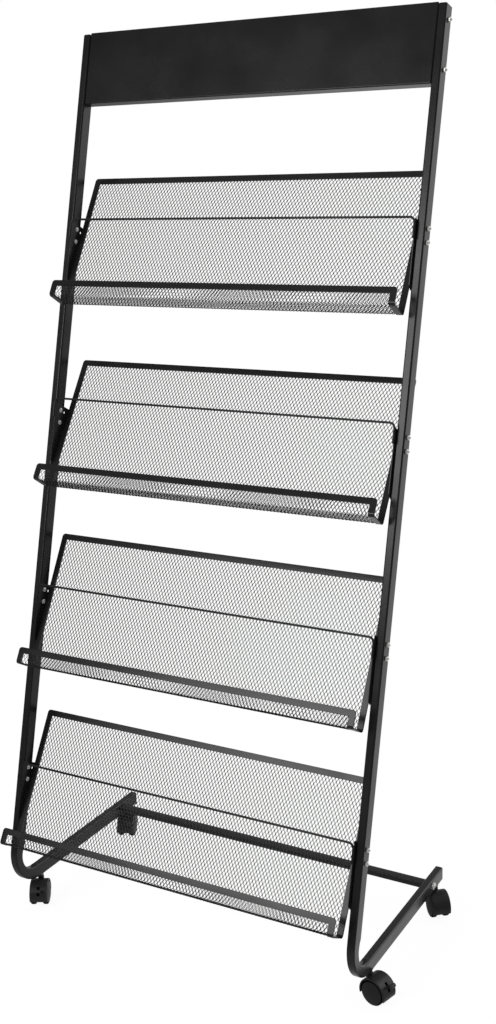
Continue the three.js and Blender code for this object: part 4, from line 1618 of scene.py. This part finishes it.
@dataclass(frozen=True)
class Studio:
    """Plain pale floor and background, and soft light.

    The rack mirrors a room of its own, with zones of other brightness. A zone's two numbers are where it
    begins and where it is full, along x, y or z of the direction that is looked in.
    """

    floor_colour: str = "#f4f4f4"
    white: str = "#ffffff"
    floor_size: float = 40.0
    floor_glow: float = 0.86  # how white the floor is in shadow
    glow_strength: float = 1.09  # of the white that the camera sees
    ambient: float = 0.52  # brightness of the room as plain light
    front_mirrored: float = 0.08  # brightness of the mirrored room, towards the front
    floor_mirrored: float = 0.28  # low in front
    low_zone: tuple[float, float] = (-0.15, -0.45)  # z
    ceiling_mirrored: float = 0.2  # high in front
    ceiling_zone: tuple[float, float] = (0.55, 0.75)  # z
    screen_mirrored: float = 0.8  # a bright screen behind the rack
    behind_zone: tuple[float, float] = (-0.2, 0.7)  # y
    side_mirrored: float = 0.2  # beside the screen
    side_zone: tuple[float, float] = (0.4, 0.62)  # x, on both sides
    top_mirrored: float = 0.2  # above the screen
    top_zone: tuple[float, float] = (0.0, 0.55)  # z
    rim_mirrored: float = 1.3  # a lamp behind, which shows in curved edges
    rim_light: tuple[float, float, float] = (0.6, 0.65, 0.47)  # towards that lamp
    rim_zone: tuple[float, float] = (0.84, 0.95)  # cosine of the angle to it
    panels: tuple[Panel, ...] = (
        Panel("front_softbox", position=(-0.9, -2.7, 1.83), aim=(0, 0, 0.8), size=(1.6, 1.35), watts=23.5),
    )

    def build(self) -> None:
        """Sets the floor, the background and the lamps."""
        self.lay_floor()
        self.fill_background()
        for panel in self.panels:
            panel.build()
        bpy.context.scene.view_settings.view_transform = "Standard"

    def lay_floor(self) -> None:
        """Makes a wide floor that looks white to the camera and keeps the rack's shadow."""
        half = self.floor_size / 2
        corners = [(-half, -half, 0), (half, -half, 0), (half, half, 0), (-half, half, 0)]
        mesh = bpy.data.meshes.new("floor")
        mesh.from_pydata(corners, [], [(0, 1, 2, 3)])
        material = bpy.data.materials.new("pale_studio_floor")
        material.use_nodes = True
        tree = material.node_tree
        tree.nodes.clear()
        add = partial(add_node, tree)
        camera = add("ShaderNodeLightPath").outputs["Is Camera Ray"]
        seen = add("ShaderNodeMath", [camera, self.floor_glow], operation="MULTIPLY")
        paint = add("ShaderNodeBsdfDiffuse", {"Color": linear(self.floor_colour)})
        light = {"Color": linear(self.white), "Strength": self.glow_strength}
        glow = add("ShaderNodeEmission", light)
        surface = add("ShaderNodeMixShader", [seen, paint, glow])
        add("ShaderNodeOutputMaterial", {"Surface": surface})
        mesh.materials.append(material)
        floor = linked("floor", mesh)
        floor.visible_glossy = False

    def fill_background(self) -> None:
        """Makes the background white to the camera, and soft light that is brighter behind the rack."""
        world = bpy.data.worlds.new("studio")
        world.use_nodes = True
        bpy.context.scene.world = world
        tree = world.node_tree
        tree.nodes.clear()
        add = partial(add_node, tree)
        rays = add("ShaderNodeLightPath").outputs
        mirrored = self.mirrored_room(tree)
        glossy = {SHARE: rays["Is Glossy Ray"], FIRST_VALUE: self.ambient, SECOND_VALUE: mirrored}
        lit = add("ShaderNodeMix", glossy)
        clear = {SHARE: rays["Is Transmission Ray"], FIRST_VALUE: lit, SECOND_VALUE: 1.0}
        through = add("ShaderNodeMix", clear)
        seen = {SHARE: rays["Is Camera Ray"], FIRST_VALUE: through, SECOND_VALUE: 1.0}
        strength = add("ShaderNodeMix", seen)
        sky = add("ShaderNodeBackground", {"Color": linear(self.white), "Strength": strength})
        add("ShaderNodeOutputWorld", {"Surface": sky})

    def mirrored_room(self, tree: bpy.types.NodeTree) -> bpy.types.Node:
        """The room that the rack mirrors: dim in front, a bright screen behind, and a lamp beside it.

        Args:
            tree: The world's tree.

        Returns:
            Its brightness.
        """
        add = partial(add_node, tree)
        towards = add("ShaderNodeTexCoord").outputs["Generated"]
        part = add("ShaderNodeSeparateXYZ", {"Vector": towards}).outputs
        low = [part["Z"], *self.low_zone, self.front_mirrored, self.floor_mirrored]
        high = [part["Z"], *self.ceiling_zone, 0.0, self.ceiling_mirrored]
        fronts = [add("ShaderNodeMapRange", low), add("ShaderNodeMapRange", high)]
        front = add("ShaderNodeMath", fronts, operation="ADD")
        aside = add("ShaderNodeMath", [part["X"]], operation="ABSOLUTE")
        narrow = [aside, *self.side_zone, self.screen_mirrored, self.side_mirrored]
        screen = add("ShaderNodeMapRange", narrow)
        top = add("ShaderNodeMapRange", [part["Z"], *self.top_zone])
        backs = {SHARE: top, FIRST_VALUE: screen, SECOND_VALUE: self.top_mirrored}
        back = add("ShaderNodeMix", backs)
        behind = add("ShaderNodeMapRange", [part["Y"], *self.behind_zone])
        room = add("ShaderNodeMix", {SHARE: behind, FIRST_VALUE: front, SECOND_VALUE: back})
        aim = [towards, Vector(self.rim_light).normalized()]
        near = add("ShaderNodeVectorMath", aim, operation="DOT_PRODUCT").outputs["Value"]
        lamp = add("ShaderNodeMapRange", [near, *self.rim_zone, 0.0, self.rim_mirrored])
        return add("ShaderNodeMath", [room, lamp], operation="ADD")


def fasten(bench: Bench, rack: Rack, header: Header, crossbar: Crossbar, trays: Sequence[Tray]) -> None:
    """Sets the bolts of the header, the crossbar and the trays.

    Args:
        bench: Where they are finished.
        rack: Sizes of the posts.
        header: Panel that is bolted between the posts.
        crossbar: Bar that is bolted between the feet.
        trays: Trays whose brackets are bolted to the posts.
    """
    rows = BoltRow()
    past_nut = 5.2  # nut and thread end, past the outer face
    crossbar_bolt = Fastener(
        length=35.0,
        radius=3.0,
        head_radius=6.0,
        head_height=3.6,
        head_side=0.8,
        recess_reach=2.6,
        recess_width=1.1,
        recess_depth=2.0,
        thread_pitch=1.0,
        thread_depth=0.4,
    )
    for side in Side:
        word = side.word
        seat = trays[0].half_width + rack.clearance
        grip = rack.half_width + rack.clearance - seat
        points = [point for tray in trays for point in tray.bolt_points(side.value * seat)]
        bolt = Fastener(grip + past_nut, grip).form()
        bench.keep(f"{word}_tray_bolts", rows.bolts(bolt, points, side, ZINC_PLATE), ZINC_PLATE)
        seat = rack.inner_face - 2 * rack.clearance - header.sheet
        grip = rack.half_width + rack.clearance - seat
        bolt = Fastener(grip + past_nut, grip).form()
        mesh = rows.bolts(bolt, header.bolt_points(side.value * seat), side, ZINC_PLATE)
        nodes = [f"header_{word}_{level}_bolt" for level in ("upper", "lower")]
        bench.keep(f"{word}_header_bolts", mesh, ZINC_PLATE, nodes)
        inwards = Side.LEFT if side is Side.RIGHT else Side.RIGHT
        point = crossbar.middle + Vector((side.value * (rack.half_width + rack.clearance), 0, 0))
        mesh = rows.bolts(crossbar_bolt.form(), [point], inwards, ZINC_PLATE)
        bench.keep(f"{word}_crossbar_bolt_plated", mesh, ZINC_PLATE, [f"crossbar_{word}_bolt"])


def main() -> None:
    """Builds the studio and the rack, piece by piece."""
    logging.basicConfig(level=logging.INFO, format="%(name)s: %(message)s")
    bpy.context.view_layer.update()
    rack = Rack()
    bench = Bench(rack)
    Camera().build()
    Studio().build()
    for side in Side:
        SideFrame(rack, side).build(bench)
    header = Header(rack)
    header.build(bench)
    crossbar = Crossbar(rack)
    crossbar.build(bench)
    lowest, spacing = 141.25, 299.0  # lower back corners of the trays, up the post
    hand_set = (  # each tray's tilt in degrees and its wire's rise, which differ a little
        ("bottom_tray", 30.3, 136.5),
        ("lower_tray", 29.3, 136.5),
        ("upper_tray", 33.0, 146.0),
        ("top_tray", 30.0, 140.5),
    )
    trays = [
        Tray(rack, name, lowest + k * spacing, math.radians(tilt), wire_rise)
        for k, (name, tilt, wire_rise) in enumerate(hand_set)
    ]
    metal = ExpandedMetal()
    for tray in trays:
        tray.build(bench, metal)
    fasten(bench, rack, header, crossbar, trays)
    for name, side, front, heading in (  # headings in degrees
        ("front_left", Side.LEFT, True, -62),
        ("front_right", Side.RIGHT, True, -14),
        ("rear_left", Side.LEFT, False, -69),
        ("rear_right", Side.RIGHT, False, -49),
    ):
        Caster(rack, name, side, front, math.radians(heading)).build(bench)


if __name__ == "__main__":
    main()
